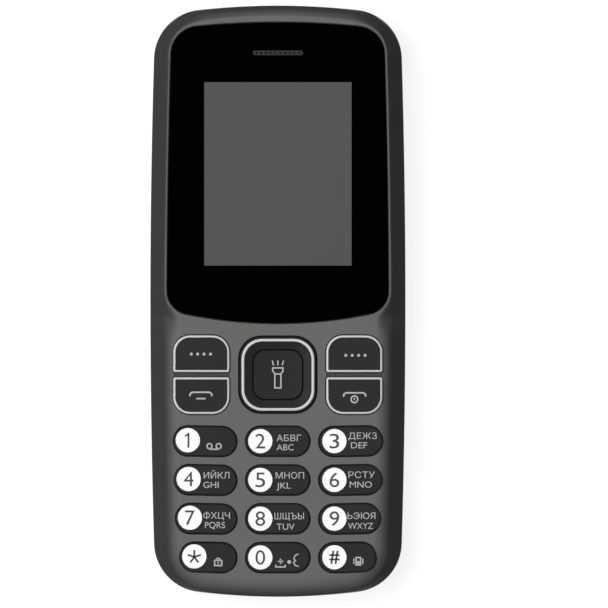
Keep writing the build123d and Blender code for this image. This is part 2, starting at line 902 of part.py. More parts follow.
def keycap(outline, low_z, top_z, edge):
    """A cap with a rounded top edge."""
    cap = slab(outline(), low_z, top_z)
    return fillet(cap.faces().sort_by(Axis.Z)[-1].edges(), edge)


def slide_key(outline):
    """A key that slides straight in, held by a flange under the front cover."""
    flange = outline(flange_width) & inset_outline(ceiling_inset + flange_margin)
    return keycap(outline, flange_z, key_top_z, key_edge) + slab(flange, flange_z, flange_top_z)


def nav_ring_key():
    """The rocking ring round the centre key, with a slope down to the key."""
    ring = keycap(nav_outline, ring_z, nav_top_z, nav_edge)
    ring += slab(nav_outline(flange_width), ring_z, ring_z + nav_flange_thickness)
    return ring - flared(lambda grow: ok_outline(ok_gap + grow), ring_z, nav_top_z, nav_chamfer)


def nav_rocker_pad():
    """The frame under the ring that tips with it towards the upper and lower contacts."""
    frame = nav_outline(-rocker_edge) - ok_outline(ok_flange_width + ok_gap)
    return slab(frame, rocker_z, rocker_z + rocker_thickness)


def ok_key():
    """The centre key, dished on top, with a flange under the ring."""
    key = keycap(ok_outline, ok_z, ok_top_z, key_edge)
    key += slab(ok_outline(ok_flange_width), ok_z, ok_z + ok_flange_thickness)
    return key - Pos(0, nav_y, ok_top_z - ok_dish_depth + ok_dish_radius) * Sphere(ok_dish_radius)


# Keypad mat, dome sheet, domes and lights

def keypad_area(inset):
    """The body's outline drawn in, and cut to the keypad's stretch."""
    top_y = nav_y + nav_length / 2 + key_gap + flange_width + mat_margin
    bottom_y = first_row_y - (row_count - 1) * row_pitch - key_height / 2 + mat_trim
    return above(below(inset_outline(inset), top_y), bottom_y)


def keypad_mat():
    """The rubber mat: a web, a pad under every key and a nub over every dome."""
    web = slab(keypad_area(mat_inset), web_z, web_top_z)
    pads = [slab(outline(-pad_inset), web_top_z, flange_z) for outline in key_outlines.values()]
    pads.append(slab(ok_outline(-pad_inset), web_top_z, ok_z))
    frame = nav_outline(-rocker_edge - pad_inset) - ok_outline(ok_flange_width + ok_gap + pad_inset)
    pads.append(slab(frame, web_top_z, rocker_z))
    nub_z = board_top_z + dome_height + nub_gap
    nubs = pillars(dome_places, nub_radius, nub_z, web_z)
    nav_nubs = pillars(nav_dome_places, nav_nub_radius, nub_z, web_z)
    return web + pads + nubs + nav_nubs


def dome_sheet():
    """The film on the board, with a window for each dome and each light."""
    sheet_top_z = board_top_z + sheet_thickness
    sheet = slab(keypad_area(sheet_inset), board_top_z, sheet_top_z)
    sheet -= pillars(dome_places, dome_radius + dome_window_gap, board_top_z, sheet_top_z)
    sheet -= pillars(nav_dome_places, nav_dome_radius + dome_window_gap, board_top_z, sheet_top_z)
    width = light_width + 2 * light_window_gap
    length = light_length + 2 * light_window_gap
    return sheet - [block(width, length, board_top_z, sheet_top_z, x, y) for x, y in light_places]


def dome(radius):
    """One snap dome, a shallow round cap standing on the board."""
    sphere_radius = (radius ** 2 + dome_height ** 2) / (2 * dome_height)
    ball = Pos(0, 0, board_top_z + dome_height - sphere_radius) * Sphere(sphere_radius)
    return ball & slab(Circle(radius), board_top_z, board_top_z + dome_height)


def metal_domes():
    """A snap dome under every key and under each end of the navigation ring."""
    domes = [Pos(x, y) * dome(dome_radius) for x, y in dome_places]
    return domes + [Pos(x, y) * dome(nav_dome_radius) for x, y in nav_dome_places]


def key_lights():
    """The small lights on the board between the number keys."""
    return [block(light_width, light_length, board_top_z, board_top_z + light_height, x, y)
            for x, y in light_places]


# Board and what it carries

def main_board():
    """The circuit board, with a hole round each screw boss."""
    board = slab(inset_outline(board_inset), housing_top_z, board_top_z)
    wide_radius = boss_radius + boss_board_gap
    narrow_radius = small_boss_radius + boss_board_gap
    board -= pillars(top_screw_places + side_screw_places, wide_radius, housing_top_z, board_top_z)
    return board - pillars(bottom_screw_places, narrow_radius, housing_top_z, board_top_z)


def shield_can():
    """The metal lid over the radio chips, open towards the board."""
    low_z = housing_top_z - shield_height
    can = block(shield_width, shield_length, low_z, housing_top_z, shield_x, speaker_y)
    room = block(shield_width - 2 * shield_wall, shield_length - 2 * shield_wall,
                 low_z + shield_wall, housing_top_z, shield_x, speaker_y)
    return can - room


def board_chips():
    """The chips on the back of the board: two under the shield, two by the camera, one by the USB socket."""
    usb_back_y = -body_length / 2 + usb_setback + usb_depth
    places = [
        (shield_x, speaker_y - shield_length / 4, large_chip),
        (shield_x, speaker_y + shield_length / 4, small_chip),
        (shield_x, camera_y, small_chip),
        (-shield_x, camera_y, small_chip),
        (0, usb_back_y + chip_gap + small_chip / 2, small_chip),
    ]
    return [block(size, size, housing_top_z - chip_thickness, housing_top_z, x, y) for x, y, size in places]


def card_socket(place, thickness_z):
    """A card socket with its slit open towards the battery connector."""
    x, y, width, length = place
    low_z, high_z = thickness_z
    slit_width = width - 2 * card_slit_margin
    slit_length = length - card_slit_margin
    slit_z = (low_z + high_z - card_slit) / 2
    slit = block(slit_width, slit_length, slit_z, slit_z + card_slit, x, y + card_slit_margin / 2)
    return block(width, length, low_z, high_z, x, y) - slit


def sim_sockets():
    """The two SIM card sockets."""
    return [card_socket(place, socket_heights) for place in sim_places]


def memory_card_socket():
    """The memory card socket."""
    return card_socket(card_place, socket_heights)


def contact_places():
    """Where the battery contacts stand across the body."""
    return [(index - (contact_count - 1) / 2) * contact_pitch for index in range(contact_count)]


def contact_blades():
    """The sprung blades that press on the battery's end."""
    low_y = bay_top_y - battery_side_gap + contact_gap
    high_y = connector_y - connector_length / 2 + contact_depth
    low_z = connector_z + (connector_height - contact_thickness) / 2
    return [block(contact_width, high_y - low_y, low_z, low_z + contact_thickness, x, (low_y + high_y) / 2)
            for x in contact_places()]


def battery_contacts():
    """The contacts, with a rounded nose towards the battery."""
    nose_radius = contact_thickness * contact_nose_share
    return [fillet(blade.faces().sort_by(Axis.Y)[0].edges().filter_by(Axis.X), nose_radius)
            for blade in contact_blades()]


def battery_connector():
    """The plastic block on the board that holds the battery contacts."""
    body = block(connector_width, connector_length, connector_z, housing_top_z, 0, connector_y)
    return body - contact_blades()


def battery():
    """The battery pack in its bay."""
    outline = Pos(0, battery_y) * RectangleRounded(battery_width, battery_length, battery_edge)
    return slab(outline, battery_back_z, battery_front_z)


# Sockets and small parts in the ends

def usb_socket():
    """The micro USB socket: a metal shell, closed at the back, with the contact tongue inside."""
    mouth_y = -body_length / 2 + usb_setback
    back_y = mouth_y + usb_depth
    shell = along_y(RectangleRounded(usb_width, usb_height, usb_corner), 0, usb_z, mouth_y, back_y)
    room = RectangleRounded(usb_width - 2 * usb_wall, usb_height - 2 * usb_wall, usb_corner - usb_wall)
    shell -= along_y(room, 0, usb_z, mouth_y, back_y - usb_wall)
    tongue = Rectangle(usb_tongue_width, usb_tongue_height)
    return shell + along_y(tongue, 0, usb_z, back_y - usb_wall - usb_tongue_length, back_y)


def headphone_jack():
    """The headphone socket: a block with a round nose and a blind bore."""
    nose_y = -body_length / 2 + jack_setback
    body_y = nose_y + jack_nose_length
    back_y = body_y + jack_body_length
    jack = along_y(Rectangle(jack_width, jack_height), jack_x, jack_z, body_y, back_y)
    jack += along_y(Circle(jack_nose_radius), jack_x, jack_z, nose_y, body_y)
    return jack - along_y(Circle(jack_bore_radius), jack_x, jack_z, nose_y, nose_y + jack_bore_length)


def microphone():
    """The microphone capsule."""
    low_y = -body_length / 2 + boot_setback + boot_wall
    return along_y(Circle(microphone_radius), microphone_x, microphone_z, low_y, low_y + microphone_length)


def microphone_boot():
    """The rubber boot round the microphone, with its sound hole."""
    low_y = -body_length / 2 + boot_setback
    high_y = low_y + boot_wall + microphone_length
    boot = along_y(Circle(microphone_radius + boot_wall), microphone_x, microphone_z, low_y, high_y)
    boot -= along_y(Circle(microphone_radius), microphone_x, microphone_z, low_y + boot_wall, high_y)
    return boot - along_y(Circle(sound_hole_radius), microphone_x, microphone_z, low_y, high_y)


def along_x(outline, y, z, low_x, high_x):
    """A solid with the same section all the way between two places across the body."""
    return extrude(Pos(low_x, y, z) * Rot(0, 90, 0) * outline, high_x - low_x)


def vibration_motor():
    """The small motor that shakes the phone, with a bore for its shaft."""
    low_x = motor_x - motor_length / 2
    high_x = motor_x + motor_length / 2
    motor = along_x(Circle(motor_radius), motor_y, motor_z, low_x, high_x)
    bore = Circle(motor_shaft_radius + motor_shaft_gap)
    return motor - along_x(bore, motor_y, motor_z, high_x - motor_shaft_depth - weight_gap, high_x)


def motor_weight():
    """The off-centre weight and its shaft."""
    face_x = motor_x + motor_length / 2
    low_x = face_x + weight_gap
    half = Pos(weight_radius / 2, 0) * Rectangle(weight_radius, 2 * weight_radius)
    section = (Circle(weight_radius) & half) + Circle(weight_hub_radius)
    weight = along_x(section, motor_y, motor_z, low_x, low_x + weight_length)
    shaft = Circle(motor_shaft_radius)
    return weight + along_x(shaft, motor_y, motor_z, face_x - motor_shaft_depth, low_x + weight_length)


def loudspeaker():
    """The loudspeaker, a flat can with two pins up to the board."""
    low_z = deep_floor_z + mesh_thickness
    can = slab(Pos(speaker_x, speaker_y) * Circle(speaker_radius), low_z, low_z + speaker_height)
    can = fillet(can.faces().sort_by(Axis.Z)[-1].edges(), speaker_edge)
    places = [(speaker_x + side * speaker_radius / 2, speaker_y) for side in (-1, 1)]
    return can + pillars(places, contact_width / 2, low_z + speaker_height / 2, housing_top_z)


def loudspeaker_mesh():
    """The dust mesh under the loudspeaker."""
    disc = Pos(speaker_x, speaker_y) * Circle(speaker_radius)
    return slab(disc, deep_floor_z, deep_floor_z + mesh_thickness)


def camera_module():
    """The camera: a square block on the board and a round barrel towards the back."""
    top_z = housing_top_z - camera_height
    barrel = slab(Pos(0, camera_y) * Circle(barrel_radius), bay_back_z + barrel_gap, top_z)
    return barrel + block(camera_width, camera_width, top_z, housing_top_z, 0, camera_y)


def earpiece_receiver():
    """The earpiece speaker between the board and the lens ledge."""
    outline = Pos(0, receiver_y) * RectangleRounded(receiver_width, receiver_length, receiver_corner)
    return slab(outline, board_top_z, ledge_z)


def torch_led():
    """The torch light under the board's top edge."""
    high_y = body_length / 2 - torch_setback - torch_lens_length - torch_lens_gap
    return block(torch_width, torch_length, housing_top_z - torch_height, housing_top_z,
                 0, high_y - torch_length / 2)


def antenna():
    """The folded antenna strip on the housing's top shelf, with two feet up to the board."""
    y = body_length / 2 - housing_wall - (skirt_inset + housing_inset) / 2
    strip_top_z = shelf_z + antenna_thickness
    strip = block(antenna_width, antenna_length, shelf_z, strip_top_z, 0, y)
    slit_length = antenna_length - antenna_slit
    for index in range(antenna_slit_count):
        side = 1 if index % 2 else -1
        x = (index - (antenna_slit_count - 1) / 2) * antenna_width / (antenna_slit_count + 1)
        strip -= block(antenna_slit, slit_length, shelf_z, strip_top_z, x, y + side * antenna_slit / 2)
    for side in (-1, 1):
        x = side * (antenna_width - antenna_foot) / 2
        strip += block(antenna_foot, antenna_slit, shelf_z, housing_top_z, x, y)
    return strip


def housing_screws():
    """The six screws that hold the front cover to the rear housing."""
    head = slab(Circle(screw_head_radius), screw_pocket_z - screw_head_height, screw_pocket_z)
    shank = slab(Circle(screw_radius), screw_pocket_z, screw_pocket_z + screw_length)
    cross = Rectangle(drive_width, screw_head_radius) + Rectangle(screw_head_radius, drive_width)
    drive = slab(cross, screw_pocket_z - screw_head_height, screw_pocket_z - screw_head_height + drive_depth)
    screw = head + shank - drive
    return [Pos(x, y) * screw for x, y in screw_places]


makers = {
    "front_cover": front_cover,
    "rear_housing": rear_housing,
    "battery_cover": battery_cover,
    "camera_window": camera_window,
    "display_lens": display_lens,
    "lens_tape": lens_tape,
    "earpiece_mesh": earpiece_mesh,
    "torch_lens": torch_lens,
    "lcd_panel": lcd_panel,
    "lcd_backlight": lcd_backlight,
    "lcd_gasket": lcd_gasket,
    "lcd_flex": lcd_flex,
    "nav_ring_key": nav_ring_key,
    "nav_rocker_pad": nav_rocker_pad,
    "ok_key": ok_key,
    "keypad_mat": keypad_mat,
    "dome_sheet": dome_sheet,
    "metal_domes": metal_domes,
    "key_lights": key_lights,
    "main_board": main_board,
    "shield_can": shield_can,
    "board_chips": board_chips,
    "sim_sockets": sim_sockets,
    "memory_card_socket": memory_card_socket,
    "battery_connector": battery_connector,
    "battery_contacts": battery_contacts,
    "battery": battery,
    "usb_socket": usb_socket,
    "headphone_jack": headphone_jack,
    "microphone": microphone,
    "microphone_boot": microphone_boot,
    "vibration_motor": vibration_motor,
    "motor_weight": motor_weight,
    "loudspeaker": loudspeaker,
    "loudspeaker_mesh": loudspeaker_mesh,
    "camera_module": camera_module,
    "earpiece_receiver": earpiece_receiver,
    "torch_led": torch_led,
    "antenna": antenna,
    "housing_screws": housing_screws,
}

os.makedirs("parts", exist_ok=True)
pieces = {name: maker() for name, maker in makers.items()}
pieces.update({name: slide_key(outline) for name, outline in key_outlines.items()})
for name, piece in pieces.items():
    solids = piece if isinstance(piece, list) else [piece]
    export_step(Compound(solids), f"parts/{name}.step")
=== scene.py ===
"""The looks of a feature phone that lies on its back on a pale floor.

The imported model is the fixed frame. X runs across the phone, Y towards the earpiece and Z out of the
screen. Sizes in this file are millimetres, and become metres where a mesh or a place is handed to Blender.
"""

from __future__ import annotations

import json
import logging
import math
from dataclasses import dataclass, field, replace
from enum import Enum
from typing import Callable, Iterable, Sequence

import bmesh
import bpy
import numpy as np
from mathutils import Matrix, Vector
from mathutils.geometry import delaunay_2d_cdt, interpolate_bezier

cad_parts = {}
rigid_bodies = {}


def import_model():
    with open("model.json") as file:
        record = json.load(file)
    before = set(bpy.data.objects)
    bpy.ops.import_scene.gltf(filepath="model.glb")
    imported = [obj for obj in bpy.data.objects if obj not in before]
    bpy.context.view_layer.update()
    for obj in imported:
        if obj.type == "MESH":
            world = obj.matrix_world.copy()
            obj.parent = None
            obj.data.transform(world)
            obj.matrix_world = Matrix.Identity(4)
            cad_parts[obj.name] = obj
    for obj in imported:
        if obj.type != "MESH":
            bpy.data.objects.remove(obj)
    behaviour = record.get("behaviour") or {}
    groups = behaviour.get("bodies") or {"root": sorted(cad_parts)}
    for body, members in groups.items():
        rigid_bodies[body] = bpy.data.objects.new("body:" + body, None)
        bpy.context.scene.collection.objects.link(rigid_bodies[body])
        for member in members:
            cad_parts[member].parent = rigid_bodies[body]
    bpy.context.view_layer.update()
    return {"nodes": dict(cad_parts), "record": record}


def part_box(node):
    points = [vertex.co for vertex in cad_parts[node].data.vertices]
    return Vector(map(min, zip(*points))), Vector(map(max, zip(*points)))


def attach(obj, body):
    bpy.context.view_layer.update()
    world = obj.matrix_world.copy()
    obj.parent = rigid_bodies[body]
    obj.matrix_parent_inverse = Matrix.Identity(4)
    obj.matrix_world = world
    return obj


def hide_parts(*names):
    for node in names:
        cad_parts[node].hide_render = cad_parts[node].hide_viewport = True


LOG = logging.getLogger("phone")

MM = 0.001  # one millimetre, in Blender's metres
FACE_Z = 13.6  # height of the phone's face
SMALLEST_RADIUS = 0.05  # least corner radius of a key
OVERRUN = 1.0  # how far a cutter reaches past what it cuts
SAME_PLACE = 1e-5  # distance below which two points of a letter are one, in the font's units
MIX_COLOUR_INPUTS = (0, 6, 7)  # a Mix node's sockets for the factor and the two colours
MIX_COLOUR_OUTPUT = 2  # a Mix node's socket for the mixed colour
NOISE_MIDDLE = 0.5  # middle of what a Noise node puts out
BUMP_DEPTH = 0.02  # depth of a texture's bumps at full strength

Point = tuple[float, float]
Colour = tuple[float, float, float]
Loop = list[Point]
Corners = list[bmesh.types.BMVert]
Tree = bpy.types.NodeTree
Socket = bpy.types.NodeSocket
Node = bpy.types.Node


def grey(level: float) -> Colour:
    """A neutral colour, from its linear level."""
    return (level, level, level)


# Shared effects, as node groups

def add_node(tree: Tree, kind: str, **settings: object) -> Node:
    """Adds a node and sets its own properties.

    Args:
        tree: The node tree that takes the node.
        kind: Blender's name of the node type.
        settings: Values for the node's properties.

    Returns:
        The new node.
    """
    node = tree.nodes.new(kind)
    for name, value in settings.items():
        setattr(node, name, value)
    return node


def set_inputs(node: Node, **values: object) -> Node:
    """Sets unlinked inputs of a node. An underscore in a name stands for a space.

    Args:
        node: The node.
        values: Input values by name.

    Returns:
        The same node.
    """
    for name, value in values.items():
        node.inputs[name.replace("_", " ")].default_value = value
    return node


def math_node(tree: Tree, operation: str, *inputs: Socket | float) -> Socket:
    """Adds a Math node fed by sockets or numbers.

    Args:
        tree: The node tree.
        operation: The Math node's operation.
        inputs: One socket or number for each of its inputs.

    Returns:
        Its output.
    """
    node = add_node(tree, "ShaderNodeMath", operation=operation)
    for index, value in enumerate(inputs):
        if isinstance(value, Socket):
            tree.links.new(value, node.inputs[index])
        else:
            node.inputs[index].default_value = value
    return node.outputs[0]


def new_group(name: str, inputs: dict[str, float], outputs: Sequence[str]) -> tuple[Tree, Node, Node]:
    """Starts a node group with a Vector input, number inputs and number outputs.

    Args:
        name: The group's name.
        inputs: Default values by input name.
        outputs: The names of the outputs.

    Returns:
        The group, its input node and its output node.
    """
    group = bpy.data.node_groups.new(name, "ShaderNodeTree")
    group.interface.new_socket("Vector", in_out="INPUT", socket_type="NodeSocketVector")
    for label, value in inputs.items():
        socket = group.interface.new_socket(label, in_out="INPUT", socket_type="NodeSocketFloat")
        socket.default_value = value
    for label in outputs:
        group.interface.new_socket(label, in_out="OUTPUT", socket_type="NodeSocketFloat")
    return group, add_node(group, "NodeGroupInput"), add_node(group, "NodeGroupOutput")


def feed(tree: Tree, source: Node, target: Node, *labels: str) -> None:
    """Links outputs of one node to the inputs of another that have the same names."""
    for label in labels:
        tree.links.new(source.outputs[label], target.inputs[label])


def put_out(tree: Tree, value: Socket, sink: Node) -> None:
    """Puts one value out of a texture's group as both its tone and its height."""
    for label in ("Tone", "Height"):
        tree.links.new(value, sink.inputs[label])


def placed_group(tree: Tree, place: Socket, name: str, build: Callable[[], Tree]) -> Node:
    """Puts a shared group in a material, and builds it the first time it is asked for.

    Args:
        tree: The material's node tree.
        place: The coordinates that feed the group.
        name: The group's name.
        build: Builds the group.

    Returns:
        The group's node.
    """
    node = add_node(tree, "ShaderNodeGroup", node_tree=bpy.data.node_groups.get(name) or build())
    tree.links.new(place, node.inputs["Vector"])
    return node


def new_material(name: str) -> tuple[bpy.types.Material, Tree, Node]:
    """Starts a material.

    Args:
        name: The material's name.

    Returns:
        The material, its node tree and its Principled shader.
    """
    material = bpy.data.materials.new(name)
    material.use_nodes = True
    return material, material.node_tree, material.node_tree.nodes["Principled BSDF"]


def coordinate_parts(tree: Tree, kind: str) -> bpy.types.bpy_prop_collection:
    """Splits texture coordinates.

    Args:
        tree: The node tree.
        kind: Which of Blender's texture coordinates.

    Returns:
        The outputs X, Y and Z.
    """
    parts = add_node(tree, "ShaderNodeSeparateXYZ")
    tree.links.new(add_node(tree, "ShaderNodeTexCoord").outputs[kind], parts.inputs[0])
    return parts.outputs


def grain_group() -> Tree:
    """Moulded grain: a fine noise over a coarser one. Puts out a tone and a height.

    Returns:
        The node group.
    """
    coarse_share = 0.07
    group, source, sink = new_group("moulded_grain", {"Scale": 4000.0}, ["Tone", "Height"])
    fine = set_inputs(add_node(group, "ShaderNodeTexNoise"), Detail=3.0, Roughness=0.6)
    coarse = set_inputs(add_node(group, "ShaderNodeTexNoise"), Detail=2.0)
    feed(group, source, fine, "Vector", "Scale")
    feed(group, source, coarse, "Vector")
    coarse_scale = math_node(group, "MULTIPLY", source.outputs["Scale"], coarse_share)
    group.links.new(coarse_scale, coarse.inputs["Scale"])
    both = math_node(group, "ADD", fine.outputs["Fac"], coarse.outputs["Fac"])
    group.links.new(math_node(group, "MULTIPLY", both, 1 / 2), sink.inputs["Tone"])
    group.links.new(fine.outputs["Fac"], sink.inputs["Height"])
    return group


def brushed_group() -> Tree:
    """Drawn or brushed metal: a noise stretched along the body.

    Returns:
        The node group.
    """
    lengthwise = (1.0, 0.03, 1.0)
    group, source, sink = new_group("brushed_metal", {"Scale": 3000.0}, ["Tone", "Height"])
    stretch = add_node(group, "ShaderNodeVectorMath", operation="MULTIPLY")
    stretch.inputs[1].default_value = lengthwise
    noise = set_inputs(add_node(group, "ShaderNodeTexNoise"), Detail=4.0)
    group.links.new(source.outputs["Vector"], stretch.inputs[0])
    group.links.new(stretch.outputs[0], noise.inputs["Vector"])
    feed(group, source, noise, "Scale")
    put_out(group, noise.outputs["Fac"], sink)
    return group


def weave_group() -> Tree:
    """Fine woven cloth: two crossed wave patterns.

    Returns:
        The node group.
    """
    group, source, sink = new_group("fine_weave", {"Scale": 900.0}, ["Tone", "Height"])
    threads = []
    for direction in ("X", "Y"):
        wave = add_node(group, "ShaderNodeTexWave", bands_direction=direction)
        feed(group, source, wave, "Vector", "Scale")
        threads.append(wave.outputs["Fac"])
    put_out(group, math_node(group, "MAXIMUM", *threads), sink)
    return group


def track_group() -> Tree:
    """A circuit board's tracks, as thin lines between cells.

    Returns:
        The node group.
    """
    track_width = 0.06
    group, source, sink = new_group("board_tracks", {"Scale": 500.0}, ["Tone", "Height"])
    cells = add_node(group, "ShaderNodeTexVoronoi", feature="DISTANCE_TO_EDGE", distance="CHEBYCHEV")
    feed(group, source, cells, "Vector", "Scale")
    put_out(group, math_node(group, "LESS_THAN", cells.outputs["Distance"], track_width), sink)
    return group


def wear_group() -> Tree:
    """Wear along edges, broken up by a noise. Puts out a mask.

    Returns:
        The node group.
    """
    edge_radius = 0.1
    unworn, fully_worn = 0.97, 0.72
    group, source, sink = new_group("edge_wear", {"Amount": 0.3}, ["Mask"])
    rounded = set_inputs(add_node(group, "ShaderNodeBevel", samples=4), Radius=edge_radius * MM)
    geometry = add_node(group, "ShaderNodeNewGeometry")
    turned = add_node(group, "ShaderNodeVectorMath", operation="DOT_PRODUCT")
    group.links.new(rounded.outputs["Normal"], turned.inputs[0])
    group.links.new(geometry.outputs["Normal"], turned.inputs[1])
    noise = set_inputs(add_node(group, "ShaderNodeTexNoise"), Scale=700.0, Detail=4.0)
    feed(group, source, noise, "Vector")
    edge = set_inputs(add_node(group, "ShaderNodeMapRange"), From_Min=unworn, From_Max=fully_worn)
    group.links.new(turned.outputs["Value"], edge.inputs["Value"])
    broken = math_node(group, "MULTIPLY", edge.outputs["Result"], noise.outputs["Fac"])
    group.links.new(math_node(group, "MULTIPLY", broken, source.outputs["Amount"]), sink.inputs["Mask"])
    return group


def smudge_group() -> Tree:
    """Handling marks: slow changes of roughness about a middle value.

    Returns:
        The node group.
    """
    group, source, sink = new_group("handling_smudges", {"Middle": 0.5, "Spread": 0.1}, ["Roughness"])
    noise = set_inputs(add_node(group, "ShaderNodeTexNoise"), Scale=110.0, Detail=3.0, Roughness=0.55)
    feed(group, source, noise, "Vector")
    centred = math_node(group, "SUBTRACT", noise.outputs["Fac"], NOISE_MIDDLE)
    swing = math_node(group, "MULTIPLY", centred, source.outputs["Spread"])
    group.links.new(math_node(group, "ADD", swing, source.outputs["Middle"]), sink.inputs["Roughness"])
    return group


class Texture(Enum):
    """The surface texture of a finish, as the node group that makes it."""

    GRAIN = ("moulded_grain", grain_group)
    BRUSHED = ("brushed_metal", brushed_group)
    WEAVE = ("fine_weave", weave_group)
    TRACKS = ("board_tracks", track_group)


# Finishes

@dataclass(frozen=True)
class Finish:
    """One procedural material.

    Attributes:
        name: The material's name.
        colour: Its base colour.
        dark_share: How far the texture darkens the colour, from 0 to 1.
        roughness: Middle roughness.
        smudge: Spread of the roughness.
        metallic: 0 for plastic, 1 for metal.
        specular: Specular level, 0.5 for common plastic.
        texture: The surface texture.
        scale: The texture's scale, in cells a metre.
        relief: Strength of the texture's bump.
        wear: Amount of edge wear.
        wear_colour: Colour of worn edges.
        transmission: 0 for a solid look, 1 for clear glass.
        painted_side_shade: A painted shade: the darker colour that steep faces take by their slope, where it
            differs from the colour of flat ones.
    """

    name: str
    colour: Colour
    dark_share: float = 0.12
    roughness: float = 0.5
    smudge: float = 0.12
    metallic: float = 0.0
    specular: float = 0.4
    texture: Texture = Texture.GRAIN
    scale: float = 4000.0
    relief: float = 0.15
    wear: float = 0.25
    wear_colour: Colour = grey(0.3)
    transmission: float = 0.0
    painted_side_shade: Colour | None = None

    def material(self) -> bpy.types.Material:
        """The material, built the first time it is asked for."""
        return bpy.data.materials.get(self.name) or self._build()

    def _build(self) -> bpy.types.Material:
        """Builds the node tree round one Principled shader.

        Returns:
            The material.
        """
        material, tree, shader = new_material(self.name)
        set_inputs(shader, Metallic=self.metallic, Specular_IOR_Level=self.specular,
                   Transmission_Weight=self.transmission)
        place = add_node(tree, "ShaderNodeTexCoord").outputs["Object"]
        pattern = set_inputs(placed_group(tree, place, *self.texture.value), Scale=self.scale)
        worn = set_inputs(placed_group(tree, place, "edge_wear", wear_group), Amount=self.wear)
        smudges = placed_group(tree, place, "handling_smudges", smudge_group)
        set_inputs(smudges, Middle=self.roughness, Spread=self.smudge)
        tree.links.new(smudges.outputs["Roughness"], shader.inputs["Roughness"])
        colour = self._texture_colour(tree, pattern.outputs["Tone"])
        # Steep faces are darkened by their slope here: painted shade.
        if self.painted_side_shade:
            colour = self._mix_painted_side_shade(tree, colour)
        tree.links.new(mix_colour(tree, worn.outputs["Mask"], colour, self.wear_colour),
                       shader.inputs["Base Color"])
        bump = set_inputs(add_node(tree, "ShaderNodeBump"), Strength=self.relief, Distance=BUMP_DEPTH * MM)
        tree.links.new(pattern.outputs["Height"], bump.inputs["Height"])
        tree.links.new(bump.outputs["Normal"], shader.inputs["Normal"])
        return material

    def _texture_colour(self, tree: Tree, tone: Socket) -> Socket:
        """The base colour, darkened where the texture is low."""
        dark = tuple(channel * (1 - self.dark_share) for channel in self.colour)
        return mix_colour(tree, tone, dark, self.colour)

    def _mix_painted_side_shade(self, tree: Tree, colour: Socket) -> Socket:
        """Painted shade: flat faces keep the colour, and steep ones take a darker colour by their slope,
        standing in for the light that falls less on them.

        Args:
            tree: The material's node tree.
            colour: The colour of flat faces.

        Returns:
            The mixed colour's socket.
        """
        steep, flat, falloff = 0.64, 1.0, 2.0
        flatness = set_inputs(add_node(tree, "ShaderNodeMapRange"), From_Min=steep, From_Max=flat)
        tree.links.new(coordinate_parts(tree, "Normal")["Z"], flatness.inputs["Value"])
        share = math_node(tree, "POWER", flatness.outputs["Result"], falloff)
        return mix_colour(tree, share, self.painted_side_shade, colour)


def mix_colour(tree: Tree, factor: Socket, low: Socket | Colour, high: Socket | Colour) -> Socket:
    """Mixes two colours, each a socket or three numbers.

    Args:
        tree: The node tree.
        factor: 0 for the low colour, 1 for the high one.
        low: The first colour.
        high: The second colour.

    Returns:
        The mixed colour's socket.
    """
    node = add_node(tree, "ShaderNodeMix", data_type="RGBA")
    factor_socket, low_socket, high_socket = (node.inputs[index] for index in MIX_COLOUR_INPUTS)
    tree.links.new(factor, factor_socket)
    for socket, value in ((low_socket, low), (high_socket, high)):
        if isinstance(value, Socket):
            tree.links.new(value, socket)
        else:
            socket.default_value = (*value, 1.0)
    return node.outputs[MIX_COLOUR_OUTPUT]


# The front's steep faces take a painted shade, a darker grey by their slope.
FRONT_GREY = Finish("front_satin_grey", grey(0.138), dark_share=0.10, roughness=0.52, smudge=0.08,
                    specular=0.05, scale=5200.0, relief=0.10, wear_colour=grey(0.2), painted_side_shade=grey(0.038))
BACK_BLACK = Finish("back_grained_black", grey(0.035), dark_share=0.25, roughness=0.55, smudge=0.1,
                    specular=0.3, scale=3000.0, relief=0.35, wear=0.3, wear_colour=grey(0.09))
KEY_DARK = Finish("key_dark_satin", grey(0.0185), smudge=0.1, specular=0.07, scale=6000.0, relief=0.06,
                  wear_colour=grey(0.06))
NAV_BLACK = Finish("nav_satin_black", grey(0.0145), dark_share=0.1, specular=0.08, scale=5000.0, relief=0.04,
                   wear=0.2, wear_colour=grey(0.05))
CENTRE_BLACK = Finish("centre_key_black", grey(0.0185), dark_share=0.1, roughness=0.55, specular=0.07,
                      scale=5000.0, relief=0.04, wear=0.0)
# A darker grey for the strips between the command keys: painted shadow.
GAP_SHADOW_GREY = Finish("gap_shadow_grey", grey(0.058), dark_share=0.15, roughness=0.7, smudge=0.05, specular=0.1,
                  relief=0.1, wear=0.0)
EARPIECE_BLACK = Finish("earpiece_woven_black", grey(0.024), dark_share=0.3, roughness=0.6, smudge=0.1,
                        specular=0.12, texture=Texture.WEAVE, scale=2600.0, relief=0.3, wear=0.0)
DISC_WHITE = Finish("print_white", grey(0.97), dark_share=0.02, roughness=0.6, smudge=0.05, specular=0.3,
                    relief=0.03, wear=0.0)
DIGIT_INK = Finish("print_dark", grey(0.06), dark_share=0.2, roughness=0.6, smudge=0.05, specular=0.2,
                   relief=0.03, wear=0.0)
LEGEND_INK = Finish("print_light_grey", grey(0.46), dark_share=0.06, roughness=0.6, smudge=0.05, specular=0.2,
                    relief=0.03, wear=0.0)
RIM_LIGHT = Finish("rim_pale_silver", grey(0.60), dark_share=0.06, roughness=0.4, smudge=0.08, specular=0.3,
                   relief=0.04, wear=0.0)

